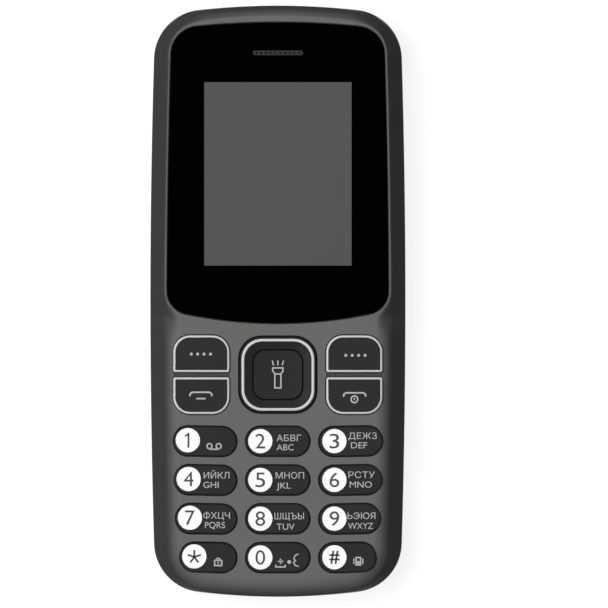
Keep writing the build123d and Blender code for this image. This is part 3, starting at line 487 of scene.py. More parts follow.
SLOT_FINISHES = {
    "front_plastic": FRONT_GREY,
    "back_plastic": BACK_BLACK,
    "chassis_plastic": Finish("chassis_black", grey(0.03), dark_share=0.2, roughness=0.6, relief=0.25),
    "clear_window": Finish("clear_acrylic", (0.8, 0.82, 0.83), dark_share=0.02, roughness=0.06, smudge=0.03,
                           specular=0.5, relief=0.01, wear=0.0, transmission=0.85),
    "key_plastic": KEY_DARK,
    "nav_plastic": NAV_BLACK,
    "clear_silicone": Finish("milky_silicone", grey(0.5), dark_share=0.1, relief=0.1, wear=0.0),
    "black_rubber": Finish("black_rubber", grey(0.02), dark_share=0.2, roughness=0.7, relief=0.2, wear=0.0),
    "black_foam": Finish("black_foam", grey(0.02), dark_share=0.6, roughness=0.9, specular=0.2, scale=2500.0,
                         relief=0.6, wear=0.0),
    "speaker_cloth": Finish("speaker_cloth", grey(0.03), dark_share=0.8, roughness=0.8, texture=Texture.WEAVE,
                            scale=1300.0, relief=0.7, wear=0.0),
    "display_glass": Finish("display_glass", grey(0.05), dark_share=0.1, roughness=0.2, relief=0.02,
                            wear=0.0),
    "display_tray": Finish("display_tray", grey(0.6), dark_share=0.2, roughness=0.3, metallic=1.0,
                           texture=Texture.BRUSHED),
    "flex_film": Finish("flex_amber", (0.4, 0.17, 0.03), dark_share=0.5, roughness=0.35,
                        texture=Texture.BRUSHED),
    "white_film": Finish("white_film", (0.75, 0.75, 0.73), dark_share=0.05, relief=0.03, wear=0.0),
    "dome_steel": Finish("dome_steel", (0.65, 0.64, 0.62), dark_share=0.15, roughness=0.25, metallic=1.0),
    "board_green": Finish("board_green", (0.02, 0.12, 0.05), dark_share=0.45, roughness=0.35,
                          texture=Texture.TRACKS, scale=650.0, relief=0.3),
    "chip_black": Finish("chip_black", grey(0.022), dark_share=0.3, roughness=0.6, scale=9000.0, relief=0.3),
    "light_yellow": Finish("light_phosphor", (0.75, 0.6, 0.12), dark_share=0.15, roughness=0.4, relief=0.05,
                           wear=0.0),
    "shield_steel": Finish("shield_tin", grey(0.55), dark_share=0.2, roughness=0.35, metallic=1.0,
                           texture=Texture.BRUSHED),
    "socket_steel": Finish("socket_steel", grey(0.5), dark_share=0.25, roughness=0.3, metallic=1.0,
                           texture=Texture.BRUSHED),
    "contact_gold": Finish("contact_gold", (0.85, 0.6, 0.22), dark_share=0.1, roughness=0.2, metallic=1.0),
    "connector_plastic": Finish("connector_black", grey(0.025), dark_share=0.2),
    "battery_wrap": Finish("battery_wrap", (0.18, 0.19, 0.2), dark_share=0.1, roughness=0.45, relief=0.1),
    "motor_steel": Finish("motor_steel", grey(0.55), dark_share=0.2, roughness=0.25, metallic=1.0,
                          texture=Texture.BRUSHED),
    "tungsten": Finish("sintered_weight", grey(0.3), dark_share=0.4, roughness=0.55, metallic=1.0,
                       scale=7000.0, relief=0.4),
    "screw_steel": Finish("screw_black_zinc", grey(0.07), dark_share=0.3, roughness=0.35, metallic=1.0,
                          wear_colour=grey(0.5)),
    "antenna_metal": Finish("antenna_gold_flash", (0.75, 0.55, 0.25), dark_share=0.15, roughness=0.3,
                            metallic=1.0, texture=Texture.BRUSHED),
}

NODE_FINISHES = {"earpiece_mesh": EARPIECE_BLACK, "ok_key": CENTRE_BLACK}


@dataclass(frozen=True)
class WindowFinish:
    """The display window: polished black, with the switched-off display behind its middle.

    Attributes:
        view_centre: Middle of the visible display.
        view_size: Width and length of the visible display.
        edge_blur: Width over which the display's edge fades.
        dot_pitch: Pitch of the display's dots.
        dot_greys: Levels of a dot's middle and of its edge.
        specular: Specular level.
        roughness: Middle roughness.
        smudge: Spread of the roughness.
        name: The material's name.
    """

    view_centre: Point
    view_size: Point = (28.03, 34.9)
    edge_blur: float = 0.10
    dot_pitch: float = 0.219
    dot_greys: Point = (0.095, 0.088)
    specular: float = 0.008
    roughness: float = 0.07
    smudge: float = 0.06
    name: str = "display_window_black"

    def material(self) -> bpy.types.Material:
        """Builds the material.

        Returns:
            The material.
        """
        material, tree, shader = new_material(self.name)
        set_inputs(shader, Specular_IOR_Level=self.specular)
        place = add_node(tree, "ShaderNodeTexCoord").outputs["Object"]
        parts = coordinate_parts(tree, "Object")
        inside = math_node(tree, "MULTIPLY",
                           *[self._within(tree, parts[axis], centre, size)
                             for axis, centre, size in zip("XY", self.view_centre, self.view_size)])
        dots = add_node(tree, "ShaderNodeTexVoronoi", distance="CHEBYCHEV")
        set_inputs(dots, Scale=1.0 / (self.dot_pitch * MM), Randomness=0.0)
        tree.links.new(place, dots.inputs["Vector"])
        lit = mix_colour(tree, dots.outputs["Distance"], *map(grey, self.dot_greys))
        tree.links.new(mix_colour(tree, inside, grey(0.0), lit), shader.inputs["Base Color"])
        smudges = placed_group(tree, place, "handling_smudges", smudge_group)
        set_inputs(smudges, Middle=self.roughness, Spread=self.smudge)
        tree.links.new(smudges.outputs["Roughness"], shader.inputs["Roughness"])
        return material

    def _within(self, tree: Tree, value: Socket, centre: float, size: float) -> Socket:
        """1 where a coordinate lies inside a stretch, 0 outside it.

        Args:
            tree: The material's node tree.
            value: The coordinate.
            centre: Middle of the stretch.
            size: Its length.

        Returns:
            The mask's socket.
        """
        away = math_node(tree, "ABSOLUTE", math_node(tree, "SUBTRACT", value, centre * MM))
        edge = set_inputs(add_node(tree, "ShaderNodeMapRange"),
                          From_Min=(size / 2 + self.edge_blur / 2) * MM,
                          From_Max=(size / 2 - self.edge_blur / 2) * MM)
        tree.links.new(away, edge.inputs["Value"])
        return edge.outputs["Result"]


# Outlines, as closed loops of points in millimetres

def circle_through(first: Point, second: Point, third: Point) -> tuple[Point, float]:
    """The circle through three points.

    Args:
        first: One of the points.
        second: Another of them.
        third: The last of them.

    Returns:
        Its centre and its radius.
    """
    (ax, ay), (bx, by), (cx, cy) = first, second, third
    turn = 2 * (ax * (by - cy) + bx * (cy - ay) + cx * (ay - by))
    squares = [x * x + y * y for x, y in (first, second, third)]
    x = (squares[0] * (by - cy) + squares[1] * (cy - ay) + squares[2] * (ay - by)) / turn
    y = (squares[0] * (cx - bx) + squares[1] * (ax - cx) + squares[2] * (bx - ax)) / turn
    return (x, y), math.dist((x, y), first)


def crossing(first: tuple[Point, float], second: tuple[Point, float], near: Point) -> Point:
    """The crossing of two circles that lies nearer to a point.

    Args:
        first: Centre and radius of one circle.
        second: Those of the other.
        near: The point.

    Returns:
        The crossing.
    """
    (ax, ay), first_radius = first
    (bx, by), second_radius = second
    apart = math.dist((ax, ay), (bx, by))
    along = (apart ** 2 + first_radius ** 2 - second_radius ** 2) / (2 * apart)
    across = math.sqrt(max(first_radius ** 2 - along ** 2, 0.0))
    ux, uy = (bx - ax) / apart, (by - ay) / apart
    found = [(ax + along * ux - side * across * uy, ay + along * uy + side * across * ux)
             for side in (-1, 1)]
    return min(found, key=lambda point: math.dist(point, near))


def arc_points(centre: Point, radius: float, start: Point, end: Point, count: int) -> Loop:
    """Points along the shorter arc from start to end, without the end point.

    Args:
        centre: The arc's centre.
        radius: Its radius.
        start: Where it starts.
        end: Where it ends.
        count: How many points.

    Returns:
        The points.
    """
    low = math.atan2(start[1] - centre[1], start[0] - centre[0])
    high = math.atan2(end[1] - centre[1], end[0] - centre[0])
    sweep = (high - low + math.pi) % (2 * math.pi) - math.pi
    return [(centre[0] + radius * math.cos(low + sweep * step / count),
             centre[1] + radius * math.sin(low + sweep * step / count)) for step in range(count)]


def round_points(centre: Point, radius: float, turn: float, count: int) -> Loop:
    """Points on a circle, the first at its right and each a turn, in radians, past the one before."""
    return [(centre[0] + radius * math.cos(turn * step), centre[1] + radius * math.sin(turn * step))
            for step in range(count)]


@dataclass(frozen=True)
class CrownedOutline:
    """Four arcs with rounded corners, the same on the left and the right.

    Attributes:
        top_half: Half the width between the upper corners.
        bottom_half: Half the width between the lower corners.
        top_y: Highest point.
        bottom_y: Lowest point.
        top_crown: How far the top edge rises above its corners.
        bottom_crown: How far the bottom edge falls below its corners.
        bow: How far the sides bow out.
        top_radius: Radius of the upper corners.
        bottom_radius: Radius of the lower corners.
    """

    top_half: float
    bottom_half: float
    top_y: float
    bottom_y: float
    top_crown: float
    bottom_crown: float
    bow: float
    top_radius: float
    bottom_radius: float

    def points(self, end_steps: int = 24, corner_steps: int = 18, side_steps: int = 130) -> Loop:
        """The closed loop, clockwise from the middle of the top edge.

        Args:
            end_steps: Points on half of the top or bottom edge.
            corner_steps: Points on each corner.
            side_steps: Points on each side.

        Returns:
            The loop.
        """
        upper = (self.top_half, self.top_y - self.top_crown)
        lower = (self.bottom_half, self.bottom_y + self.bottom_crown)
        middle = ((upper[0] + lower[0]) / 2 + self.bow, (upper[1] + lower[1]) / 2)
        top = circle_through((-upper[0], upper[1]), (0.0, self.top_y), upper)
        bottom = circle_through((-lower[0], lower[1]), (0.0, self.bottom_y), lower)
        side = circle_through(upper, middle, lower)
        corners = []
        for edge, radius, corner in ((top, self.top_radius, upper), (bottom, self.bottom_radius, lower)):
            centre = crossing((edge[0], edge[1] - radius), (side[0], side[1] - radius), corner)
            corners.append((centre, radius, self._touch(edge, centre), self._touch(side, centre)))
        (high, high_radius, top_end, side_start), (low, low_radius, bottom_start, side_end) = corners
        right = arc_points(*top, (0.0, self.top_y), top_end, end_steps)
        right += arc_points(high, high_radius, top_end, side_start, corner_steps)
        right += arc_points(*side, side_start, side_end, side_steps)
        right += arc_points(low, low_radius, side_end, bottom_start, corner_steps)
        right += arc_points(*bottom, bottom_start, (0.0, self.bottom_y), end_steps)
        left = [(-x, y) for x, y in reversed(right[1:])]
        return right + [(0.0, self.bottom_y)] + left

    @staticmethod
    def _touch(edge: tuple[Point, float], corner: Point) -> Point:
        """Where a corner's arc touches an edge's arc.

        Args:
            edge: Centre and radius of the edge's arc.
            corner: Centre of the corner's arc.

        Returns:
            The point.
        """
        (x, y), radius = edge
        away = math.dist((x, y), corner)
        return x + (corner[0] - x) * radius / away, y + (corner[1] - y) * radius / away


def rounded_rectangle(width: float, height: float, radii: Sequence[float], centre: Point = (0.0, 0.0),
                      tilt: float = 0.0, steps: int = 12) -> Loop:
    """A rectangle with its own radius at each corner.

    Args:
        width: Size along X.
        height: Size along Y.
        radii: Corner radii: upper right, lower right, lower left, upper left.
        centre: Its middle.
        tilt: Turn about the middle, in degrees.
        steps: Points on each corner.

    Returns:
        The closed loop, clockwise.
    """
    loop = []
    signs = ((1, 1), (1, -1), (-1, -1), (-1, 1))
    for index, ((sx, sy), radius) in enumerate(zip(signs, radii)):
        cx, cy = sx * (width / 2 - radius), sy * (height / 2 - radius)
        first = math.radians(90 - 90 * index)
        for step in range(steps + 1):
            angle = first - math.pi / 2 * step / steps
            loop.append((cx + radius * math.cos(angle), cy + radius * math.sin(angle)))
    turn = math.radians(tilt)
    return [(centre[0] + x * math.cos(turn) - y * math.sin(turn),
             centre[1] + x * math.sin(turn) + y * math.cos(turn)) for x, y in loop]


def round_loop(centre: Point, radius: float) -> Loop:
    """A circle, as a square with corners as round as they can be."""
    return rounded_rectangle(2 * radius, 2 * radius, (radius,) * 4, centre)


# Meshes

class MeshMaker:
    """Collects faces in millimetres and makes one piece of them."""

    def __init__(self) -> None:
        """Starts with an empty mesh."""
        self.mesh = bmesh.new()

    def ring(self, loop: Loop, heights: float | Sequence[float]) -> Corners:
        """Adds a closed loop of points.

        Args:
            loop: The points seen from above.
            heights: One height for all, or one for each point.

        Returns:
            The vertices.
        """
        if isinstance(heights, (int, float)):
            heights = [heights] * len(loop)
        return [self.mesh.verts.new((x * MM, y * MM, z * MM)) for (x, y), z in zip(loop, heights)]

    def join(self, first: Corners, second: Corners) -> None:
        """Fills the strip between two rings with as many points.

        Args:
            first: The vertices of one ring.
            second: Those of the other.
        """
        count = len(first)
        for index in range(count):
            after = (index + 1) % count
            self.mesh.faces.new((first[index], first[after], second[after], second[index]))

    def loft(self, rings: Sequence[Corners], closed: bool = False) -> None:
        """Joins rings in order, and caps both ends or joins the last to the first.

        Args:
            rings: The rings of vertices.
            closed: True to join the last ring to the first.
        """
        for first, second in zip(rings, rings[1:]):
            self.join(first, second)
        if closed:
            self.join(rings[-1], rings[0])
        else:
            self.mesh.faces.new(rings[0])
            self.mesh.faces.new(rings[-1])

    def profile(self, outline: Callable[[float], Loop], steps: Sequence[Point], closed: bool = False) -> None:
        """Lofts an outline along a profile.

        Args:
            outline: Gives the outline drawn in by an inset.
            steps: Pairs of inset and height.
            closed: True for a ring-shaped solid, whose profile comes back to its start.
        """
        self.loft([self.ring(outline(inset), z) for inset, z in steps], closed)

    def data(self) -> bpy.types.Mesh:
        """The finished mesh data with outward normals.

        Returns:
            The mesh data.
        """
        bmesh.ops.recalc_face_normals(self.mesh, faces=self.mesh.faces[:])
        data = bpy.data.meshes.new("made")
        self.mesh.to_mesh(data)
        self.mesh.free()
        return data


def add_object(name: str, data: bpy.types.ID) -> bpy.types.Object:
    """Links a new object to the scene.

    Args:
        name: The object's name.
        data: Its mesh, curve, lamp or camera.

    Returns:
        The object.
    """
    thing = bpy.data.objects.new(name, data)
    bpy.context.scene.collection.objects.link(thing)
    return thing


def smooth(thing: bpy.types.Object, angle: float = 32.0) -> None:
    """Smooth shading with sharp edges above an angle in degrees, and flat faces kept flat.

    Args:
        thing: The object.
        angle: The angle.
    """
    thing.data.shade_smooth()
    thing.data.set_sharp_from_angle(angle=math.radians(angle))
    weighted = thing.modifiers.new("flat_faces", "WEIGHTED_NORMAL")
    weighted.keep_sharp = True


def dress(thing: bpy.types.Object, material: bpy.types.Material) -> None:
    """Gives an object one material in every slot."""
    thing.data.materials.clear()
    thing.data.materials.append(material)


def place_piece(name: str, data: bpy.types.Mesh, material: bpy.types.Material, body: str,
                stands_for: Sequence[str] = ()) -> bpy.types.Object:
    """Turns a mesh into a piece of the phone.

    Args:
        name: The piece's name.
        data: Its mesh.
        material: Its material.
        body: The body that it rides on.
        stands_for: The nodes that it replaces.

    Returns:
        The piece.
    """
    piece = add_object(name, data)
    smooth(piece)
    dress(piece, material)
    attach(piece, body)
    if stands_for:
        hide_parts(*stands_for)
    LOG.info("made %s with %d faces on %s", name, len(data.polygons), body)
    return piece


def cut(data: bpy.types.Mesh, cutter: bpy.types.Mesh) -> bpy.types.Mesh:
    """Cuts one mesh out of another.

    Args:
        data: The solid to cut.
        cutter: The closed solids to take away.

    Returns:
        The cut mesh.
    """
    whole, tool = add_object("whole", data), add_object("tool", cutter)
    boolean = whole.modifiers.new("cut", "BOOLEAN")
    boolean.operation = "DIFFERENCE"
    boolean.solver = "EXACT"
    boolean.object = tool
    bpy.context.view_layer.update()
    result = bpy.data.meshes.new_from_object(whole.evaluated_get(bpy.context.evaluated_depsgraph_get()))
    bpy.data.objects.remove(whole)
    bpy.data.objects.remove(tool)
    return result


def node_box(node: str) -> tuple[Vector, Vector]:
    """The lowest and highest corner of a node, in millimetres."""
    low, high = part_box(node)
    return low / MM, high / MM


# The keys' outlines, which the keys and their openings share

@dataclass(frozen=True)
class KeyOutline:
    """A key seen from the front.

    Attributes:
        width: Size along X before the tilt.
        height: Size along Y before the tilt.
        radii: Corner radii: upper right, lower right, lower left, upper left.
        centre: Middle of the key.
        tilt: Turn in degrees.
    """

    width: float
    height: float
    radii: tuple[float, float, float, float]
    centre: Point
    tilt: float = 0.0

    def loop(self, inset: float) -> Loop:
        """The outline drawn in by an inset, or grown where that is negative.

        Args:
            inset: The inset.

        Returns:
            The closed loop.
        """
        radii = [max(radius - inset, SMALLEST_RADIUS) for radius in self.radii]
        return rounded_rectangle(self.width - 2 * inset, self.height - 2 * inset, radii, self.centre,
                                 self.tilt)

    @property
    def left(self) -> float:
        """X of the key's left end."""
        return self.centre[0] - self.width / 2


@dataclass
class KeyLayout:
    """The sizes of the keys. Their places come from the frame."""

    flange: float = 0.4
    number_height: float = 5.6
    tilt: float = 1.0
    command_round: float = 3.2
    command_sharp: float = 0.4
    nav_radius: float = 4.2
    gap_corner: float = 0.1
    columns: int = 3
    number_keys: tuple[str, ...] = ("key_1", "key_2", "key_3", "key_4", "key_5", "key_6",
                                    "key_7", "key_8", "key_9", "key_star", "key_0", "key_hash")
    command_keys: tuple[str, ...] = ("soft_key_left", "soft_key_right", "call_key", "end_key")

    def outline(self, node: str) -> KeyOutline:
        """The outline of a key's cap, from its node's box less its flange.

        Args:
            node: The key.

        Returns:
            Its outline.
        """
        low, high = node_box(node)
        centre = ((low.x + high.x) / 2, (low.y + high.y) / 2)
        width, height = high.x - low.x - 2 * self.flange, high.y - low.y - 2 * self.flange
        if node in self.number_keys:
            column = self.number_keys.index(node) % self.columns
            radius = self.number_height / 2
            return KeyOutline(width, self.number_height, (radius,) * 4, centre,
                              (column - self.columns // 2) * self.tilt)
        if node in self.command_keys:
            top = self.command_round if node.startswith("soft") else self.command_sharp
            bottom = self.command_sharp if node.startswith("soft") else self.command_round
            return KeyOutline(width, height, (top, bottom, bottom, top), centre)
        return KeyOutline(width, height, (self.nav_radius,) * 4, centre)

    def gap_loops(self, width: float) -> list[Loop]:
        """A strip between the two command keys on each side.

        Args:
            width: The strip's width along the phone.

        Returns:
            One loop for each side.
        """
        loops = []
        for upper, lower in (("soft_key_left", "call_key"), ("soft_key_right", "end_key")):
            first, second = self.outline(upper), self.outline(lower)
            middle = (first.centre[1] + second.centre[1]) / 2
            loops.append(rounded_rectangle(first.width, width, (self.gap_corner,) * 4,
                                           (first.centre[0], middle), steps=3))
        return loops

    def all_outlines(self) -> list[KeyOutline]:
        """Every opening in the front shell that a key stands in."""
        return [self.outline(node) for node in (*self.number_keys, *self.command_keys, "nav_ring_key")]


# The front shell

@dataclass
class FrontShell:
    """The grey front shell: soft shoulders, a land round the window, and its openings.

    The sizes are those of the construction. The concave edges between the land and the shoulders
    are blended here.
    """

    body_crowns: Point = (2.0, 2.2)
    body_bow: float = 0.95
    body_corner: float = 9.5
    wall: float = 1.3
    face_z: float = FACE_Z
    ceiling_z: float = 12.4
    ledge_z: float = 11.8
    inner_slope_z: float = 8.77
    ledge_inset: float = 3.23
    ceiling_inset: float = 3.6
    slope_width: float = 2.3
    shoulder_radius: float = 4.3
    shoulder_angle: float = 50.0
    face_inset_top: float = 2.55
    face_inset_bottom: float = 3.70
    face_corner: float = 7.5
    slope_corner: float = 8.9
    edge_land: float = 0.05
    rim_width: float = 0.55
    rim_rounding: float = 0.5
    scoop_blend: float = 1.4
    scoop_place: Point = (21.2, -3.2)
    scoop_reach: Point = (2.0, 2.6)
    scoop_depth: float = 0.65
    edge_round: float = 1.2
    edge_steps: int = 5
    wall_shares: Point = (0.35, 0.7)
    rim_softness: float = 0.08
    key_gap: float = 0.15
    key_chamfer: float = 0.14
    lens_gap: float = 0.1
    lens_chamfer: float = 0.25
    flare_shares: tuple[Point, ...] = ((0.0, 1.0), (0.08, 0.6), (0.3, 0.3), (0.6, 0.08), (1.0, 0.0))
    usb_margin: float = 0.3
    usb_corner: float = 1.0
    torch_margin: float = 0.05
    torch_corner: float = 0.65
    jack_hole_radius: float = 2.25
    jack_axis_drop: float = 2.15
    microphone_hole_radius: float = 0.5
    shoulder_steps: int = 14
    slope_steps: int = 8
    groove_width: float = 1.25
    groove_z: float = 13.2
    strip_width: float = 0.72
    strip_height: float = 0.12
    keys: KeyLayout = field(default_factory=KeyLayout)

    def __post_init__(self) -> None:
        """Works out the heights that follow from the sizes and the frame."""
        low, high = node_box("front_cover")
        self.half_width, self.half_length, self.rim_z = high.x, high.y, low.z
        self.turn = math.radians(self.shoulder_angle)
        self.face_side_inset = self.slope_width + self.shoulder_radius * math.sin(self.turn)
        self.slope_top_z = self.face_z - self.shoulder_radius * (1 - math.cos(self.turn))
        self.steepness = math.tan(self.turn)
        self.foot_z = self.slope_top_z - self.slope_width * self.steepness
        self.lens = lens_outline()

    def outline(self, side: float, top: float, bottom: float, corner: float) -> Loop:
        """The body's outline drawn in by its own amount at the sides, the top and the bottom.

        Args:
            side: Inset at the sides.
            top: Inset at the top.
            bottom: Inset at the bottom.
            corner: Corner radius.

        Returns:
            The closed loop.
        """
        half = self.half_width - side - self.body_bow
        return CrownedOutline(half, half, self.half_length - top, bottom - self.half_length,
                              *self.body_crowns, self.body_bow, corner, corner).points()

    def inset_outline(self, inset: float) -> Loop:
        """The body's outline drawn in by the same amount all round."""
        return self.outline(inset, inset, inset, self.body_corner - inset)

    def land_height(self, loop: Loop) -> np.ndarray:
        """Height of the land round the window, and of the slope that falls away from it.

        Args:
            loop: The points.

        Returns:
            One height for each point.
        """
        away = distance_outside(loop, self.lens.points()) - self.rim_width
        soft = np.clip(away + self.rim_rounding / 2, 0.0, self.rim_rounding)
        straight = np.maximum(away - self.rim_rounding / 2, 0.0)
        return self.face_z - self.steepness * (soft ** 2 / (2 * self.rim_rounding) + straight)

    def scooped(self, loop: Loop, height: float) -> np.ndarray:
        """The shoulder's height, sunk into a scoop beside each lower corner of the window.

        Args:
            loop: The points.
            height: Height of the shoulder before the scoop.

        Returns:
            One height for each point.
        """
        spots = np.array(loop)
        across = (np.abs(spots[:, 0]) - self.scoop_place[0]) / self.scoop_reach[0]
        along = (spots[:, 1] - self.scoop_place[1]) / self.scoop_reach[1]
        return height - self.scoop_depth * np.exp(-across ** 2 - along ** 2)

    def blended(self, loop: Loop, height: float) -> np.ndarray:
        """The higher of the shoulder and the land, with a soft blend where they meet.

        Args:
            loop: The points.
            height: Height of the shoulder.

        Returns:
            One height for each point.
        """
        land = self.land_height(loop)
        height = self.scooped(loop, height)
        apart = np.abs(land - height)
        lift = self.scoop_blend / 4 * np.maximum(1 - apart / self.scoop_blend, 0.0) ** 2
        return np.minimum(np.maximum(land, height) + lift, self.face_z)

    def outer_rings(self) -> list[tuple[Loop, np.ndarray]]:
        """The outside, ring by ring, from the parting line up to the flat face.

        Returns:
            Each ring's loop and heights.
        """
        base = self.inset_outline(0.0)
        foot = self.blended(base, self.foot_z)
        flat = np.zeros(len(base))
        tangent = self.edge_round * math.tan((math.pi / 2 - self.turn) / 2)
        start = self.rim_z + self.rim_softness
        rings = [(self.inset_outline(self.rim_softness), flat + self.rim_z), (base, flat + start)]
        rings += [(base, start + (foot - tangent - start) * share) for share in self.wall_shares]
        for step in range(self.edge_steps + 1):
            angle = (math.pi / 2 - self.turn) * step / self.edge_steps
            inset = self.edge_round * (1 - math.cos(angle))
            rings.append((self.slope_loop(inset / self.slope_width),
                          foot - tangent + self.edge_round * math.sin(angle)))
        first_share = self.edge_round * (1 - math.sin(self.turn)) / self.slope_width
        for step in range(1, self.slope_steps):
            share = first_share + (1 - first_share) * step / self.slope_steps
            loop = self.slope_loop(share)
            rings.append((loop, self.blended(loop, self.foot_z + share * (self.slope_top_z - self.foot_z))))
        for step in range(self.shoulder_steps + 1):
            angle = self.turn * (1 - step / self.shoulder_steps)
            loop = self.shoulder_loop(math.sin(angle) / math.sin(self.turn))
            fall = self.shoulder_radius * (1 - math.cos(angle))
            rings.append((loop, self.blended(loop, self.face_z - fall)))
        return rings

    def slope_loop(self, share: float) -> Loop:
        """The outline part of the way up the straight slope.

        Args:
            share: How far up, from 0 at the foot to 1.

        Returns:
            The closed loop.
        """
        corner = self.body_corner + (self.slope_corner - self.body_corner) * share
        land = self.edge_land * share
        return self.outline(self.slope_width * share, land, land, corner)

    def shoulder_loop(self, share: float) -> Loop:
        """The outline on the round shoulder, from 0 at the flat face to 1 at the slope.

        Args:
            share: The place on the shoulder.

        Returns:
            The closed loop.
        """
        side = self.face_side_inset + (self.slope_width - self.face_side_inset) * share
        top = self.face_inset_top + (self.edge_land - self.face_inset_top) * share
        bottom = self.face_inset_bottom + (self.edge_land - self.face_inset_bottom) * share
        corner = self.face_corner + (self.slope_corner - self.face_corner) * share
        return self.outline(side, top, bottom, corner)

    def inner_rings(self) -> list[tuple[Loop, float]]:
        """The inside, from the flat ceiling down to the parting line."""
        return [(self.inset_outline(self.ceiling_inset), self.ceiling_z),
                (self.inset_outline(self.ledge_inset), self.ledge_z),
                (self.inset_outline(self.wall), self.inner_slope_z),
                (self.inset_outline(self.wall), self.rim_z)]

    def openings(self) -> bpy.types.Mesh:
        """Cutters for the keys, the window and the openings in the ends.

        Returns:
            The closed solids to take away.
        """
        maker = MeshMaker()
        for outline in self.keys.all_outlines():
            maker.profile(lambda inset, outline=outline: outline.loop(-self.key_gap - inset),
                          self._flare(self.key_chamfer))
        maker.profile(lambda inset: grown(self.lens, self.lens_gap + inset).points(),
                      self._flare(self.lens_chamfer))
        for loop, low_y, high_y in self.end_openings():
            maker.loft([along_body(maker, loop, low_y), along_body(maker, loop, high_y)])
        return maker.data()

    def grooves(self) -> bpy.types.Mesh:
        """Cutters for the groove between the two command keys on each side.

        Returns:
            The closed solids to take away.
        """
        maker = MeshMaker()
        for loop in self.keys.gap_loops(self.groove_width):
            maker.loft([maker.ring(loop, self.groove_z), maker.ring(loop, self.face_z + OVERRUN)])
        return maker.data()

    def _flare(self, chamfer: float) -> list[Point]:
        """A cutter's profile that opens towards the face in a rounded edge.

        Args:
            chamfer: Width and depth of the rounded edge.

        Returns:
            Pairs of inset and height.
        """
        edge = [(across * chamfer, self.face_z - down * chamfer) for across, down in self.flare_shares]
        return [(0.0, self.ledge_z - OVERRUN), *edge, (chamfer, self.face_z + OVERRUN)]

    def end_openings(self) -> list[tuple[Loop, float, float]]:
        """The section and reach of each opening in the two end walls.

        Returns:
            Each opening's loop in X and Z, and its two ends along Y.
        """
        reach = self.half_length + OVERRUN
        inside = self.half_length - 2.0 * self.wall
        found = []
        for node, margin, corner in (("usb_socket", self.usb_margin, self.usb_corner),
                                     ("torch_lens", self.torch_margin, self.torch_corner)):
            low, high = node_box(node)
            centre = ((low.x + high.x) / 2, (low.z + high.z) / 2)
            loop = rounded_rectangle(high.x - low.x + 2 * margin, high.z - low.z + 2 * margin,
                                     (corner,) * 4, centre)
            found.append((loop, -reach, -inside) if low.y < 0 else (loop, inside, reach))
        for node, radius in (("headphone_jack", self.jack_hole_radius),
                             ("microphone", self.microphone_hole_radius)):
            low, high = node_box(node)
            middle_z = (low.z + high.z) / 2 if node == "microphone" else high.z - self.jack_axis_drop
            found.append((round_loop(((low.x + high.x) / 2, middle_z), radius), -reach, -inside))
        return found

    def build(self) -> None:
        """Makes the shell and the darker strips in its grooves, which are painted shadow."""
        maker = MeshMaker()
        rings = [maker.ring(loop, list(heights)) for loop, heights in self.outer_rings()]
        inner = [maker.ring(loop, height) for loop, height in self.inner_rings()]
        for run in (rings, inner):
            for first, second in zip(run, run[1:]):
                maker.join(first, second)
        maker.join(inner[-1], rings[0])
        maker.mesh.faces.new(rings[-1])
        maker.mesh.faces.new(inner[0])
        opened = cut(maker.data(), self.openings())
        place_piece("front_shell", cut(opened, self.grooves()), FRONT_GREY.material(), "root",
                    ["front_cover"])
        self.gap_strips()

    def gap_strips(self) -> None:
        """Makes the darker strip between the two command keys on each side: a painted shadow laid in the
        groove between the keys.
        """
        strips = MeshMaker()
        for loop in self.keys.gap_loops(self.strip_width):
            strips.loft([strips.ring(loop, self.groove_z),
                         strips.ring(loop, self.groove_z + self.strip_height)])
        place_piece("key_gap_shadow_strips", strips.data(), GAP_SHADOW_GREY.material(), "root")


def along_body(maker: MeshMaker, loop: Loop, y: float) -> Corners:
    """A ring that stands across the body at a place along it."""
    return [maker.mesh.verts.new((x * MM, y * MM, z * MM)) for x, z in loop]


def distance_outside(points: Loop, outline: Loop) -> np.ndarray:
    """How far each point lies outside a closed outline, 0 or less inside it.

    Args:
        points: The points.
        outline: The outline, clockwise.

    Returns:
        One distance for each point.
    """
    spots = np.array(points)[:, None, :]
    starts = np.array(outline)[None, :, :]
    runs = np.roll(np.array(outline), -1, axis=0)[None, :, :] - starts
    share = np.clip(((spots - starts) * runs).sum(2) / (runs ** 2).sum(2), 0.0, 1.0)
    away = np.sqrt(((starts + share[..., None] * runs - spots) ** 2).sum(2)).min(1)
    across = spots - starts
    side = runs[..., 0] * across[..., 1] - runs[..., 1] * across[..., 0]
    return np.where((side < 0).all(axis=1), -away, away)


def lens_outline() -> CrownedOutline:
    """The window's outline. Its ends and its lower width come from the frame.

    Returns:
        The outline.
    """
    crowns, bow, flare = (1.3, 2.6), 0.2, 1.8
    side_margin, top_corner, bottom_corner = 3.3, 5.3, 4.4
    low, high = node_box("display_lens")
    half = node_box("front_cover")[1].x - side_margin
    return CrownedOutline(half - flare / 2, half, high.y, low.y, *crowns, bow, top_corner, bottom_corner)


def grown(outline: CrownedOutline, grow: float) -> CrownedOutline:
    """An outline grown by a margin.

    Args:
        outline: The outline.
        grow: The margin, negative to draw it in.

    Returns:
        The grown outline.
    """
    return replace(outline, top_half=outline.top_half + grow, bottom_half=outline.bottom_half + grow,
                   top_y=outline.top_y + grow, bottom_y=outline.bottom_y - grow,
                   top_radius=outline.top_radius + grow, bottom_radius=outline.bottom_radius + grow)


# The display window

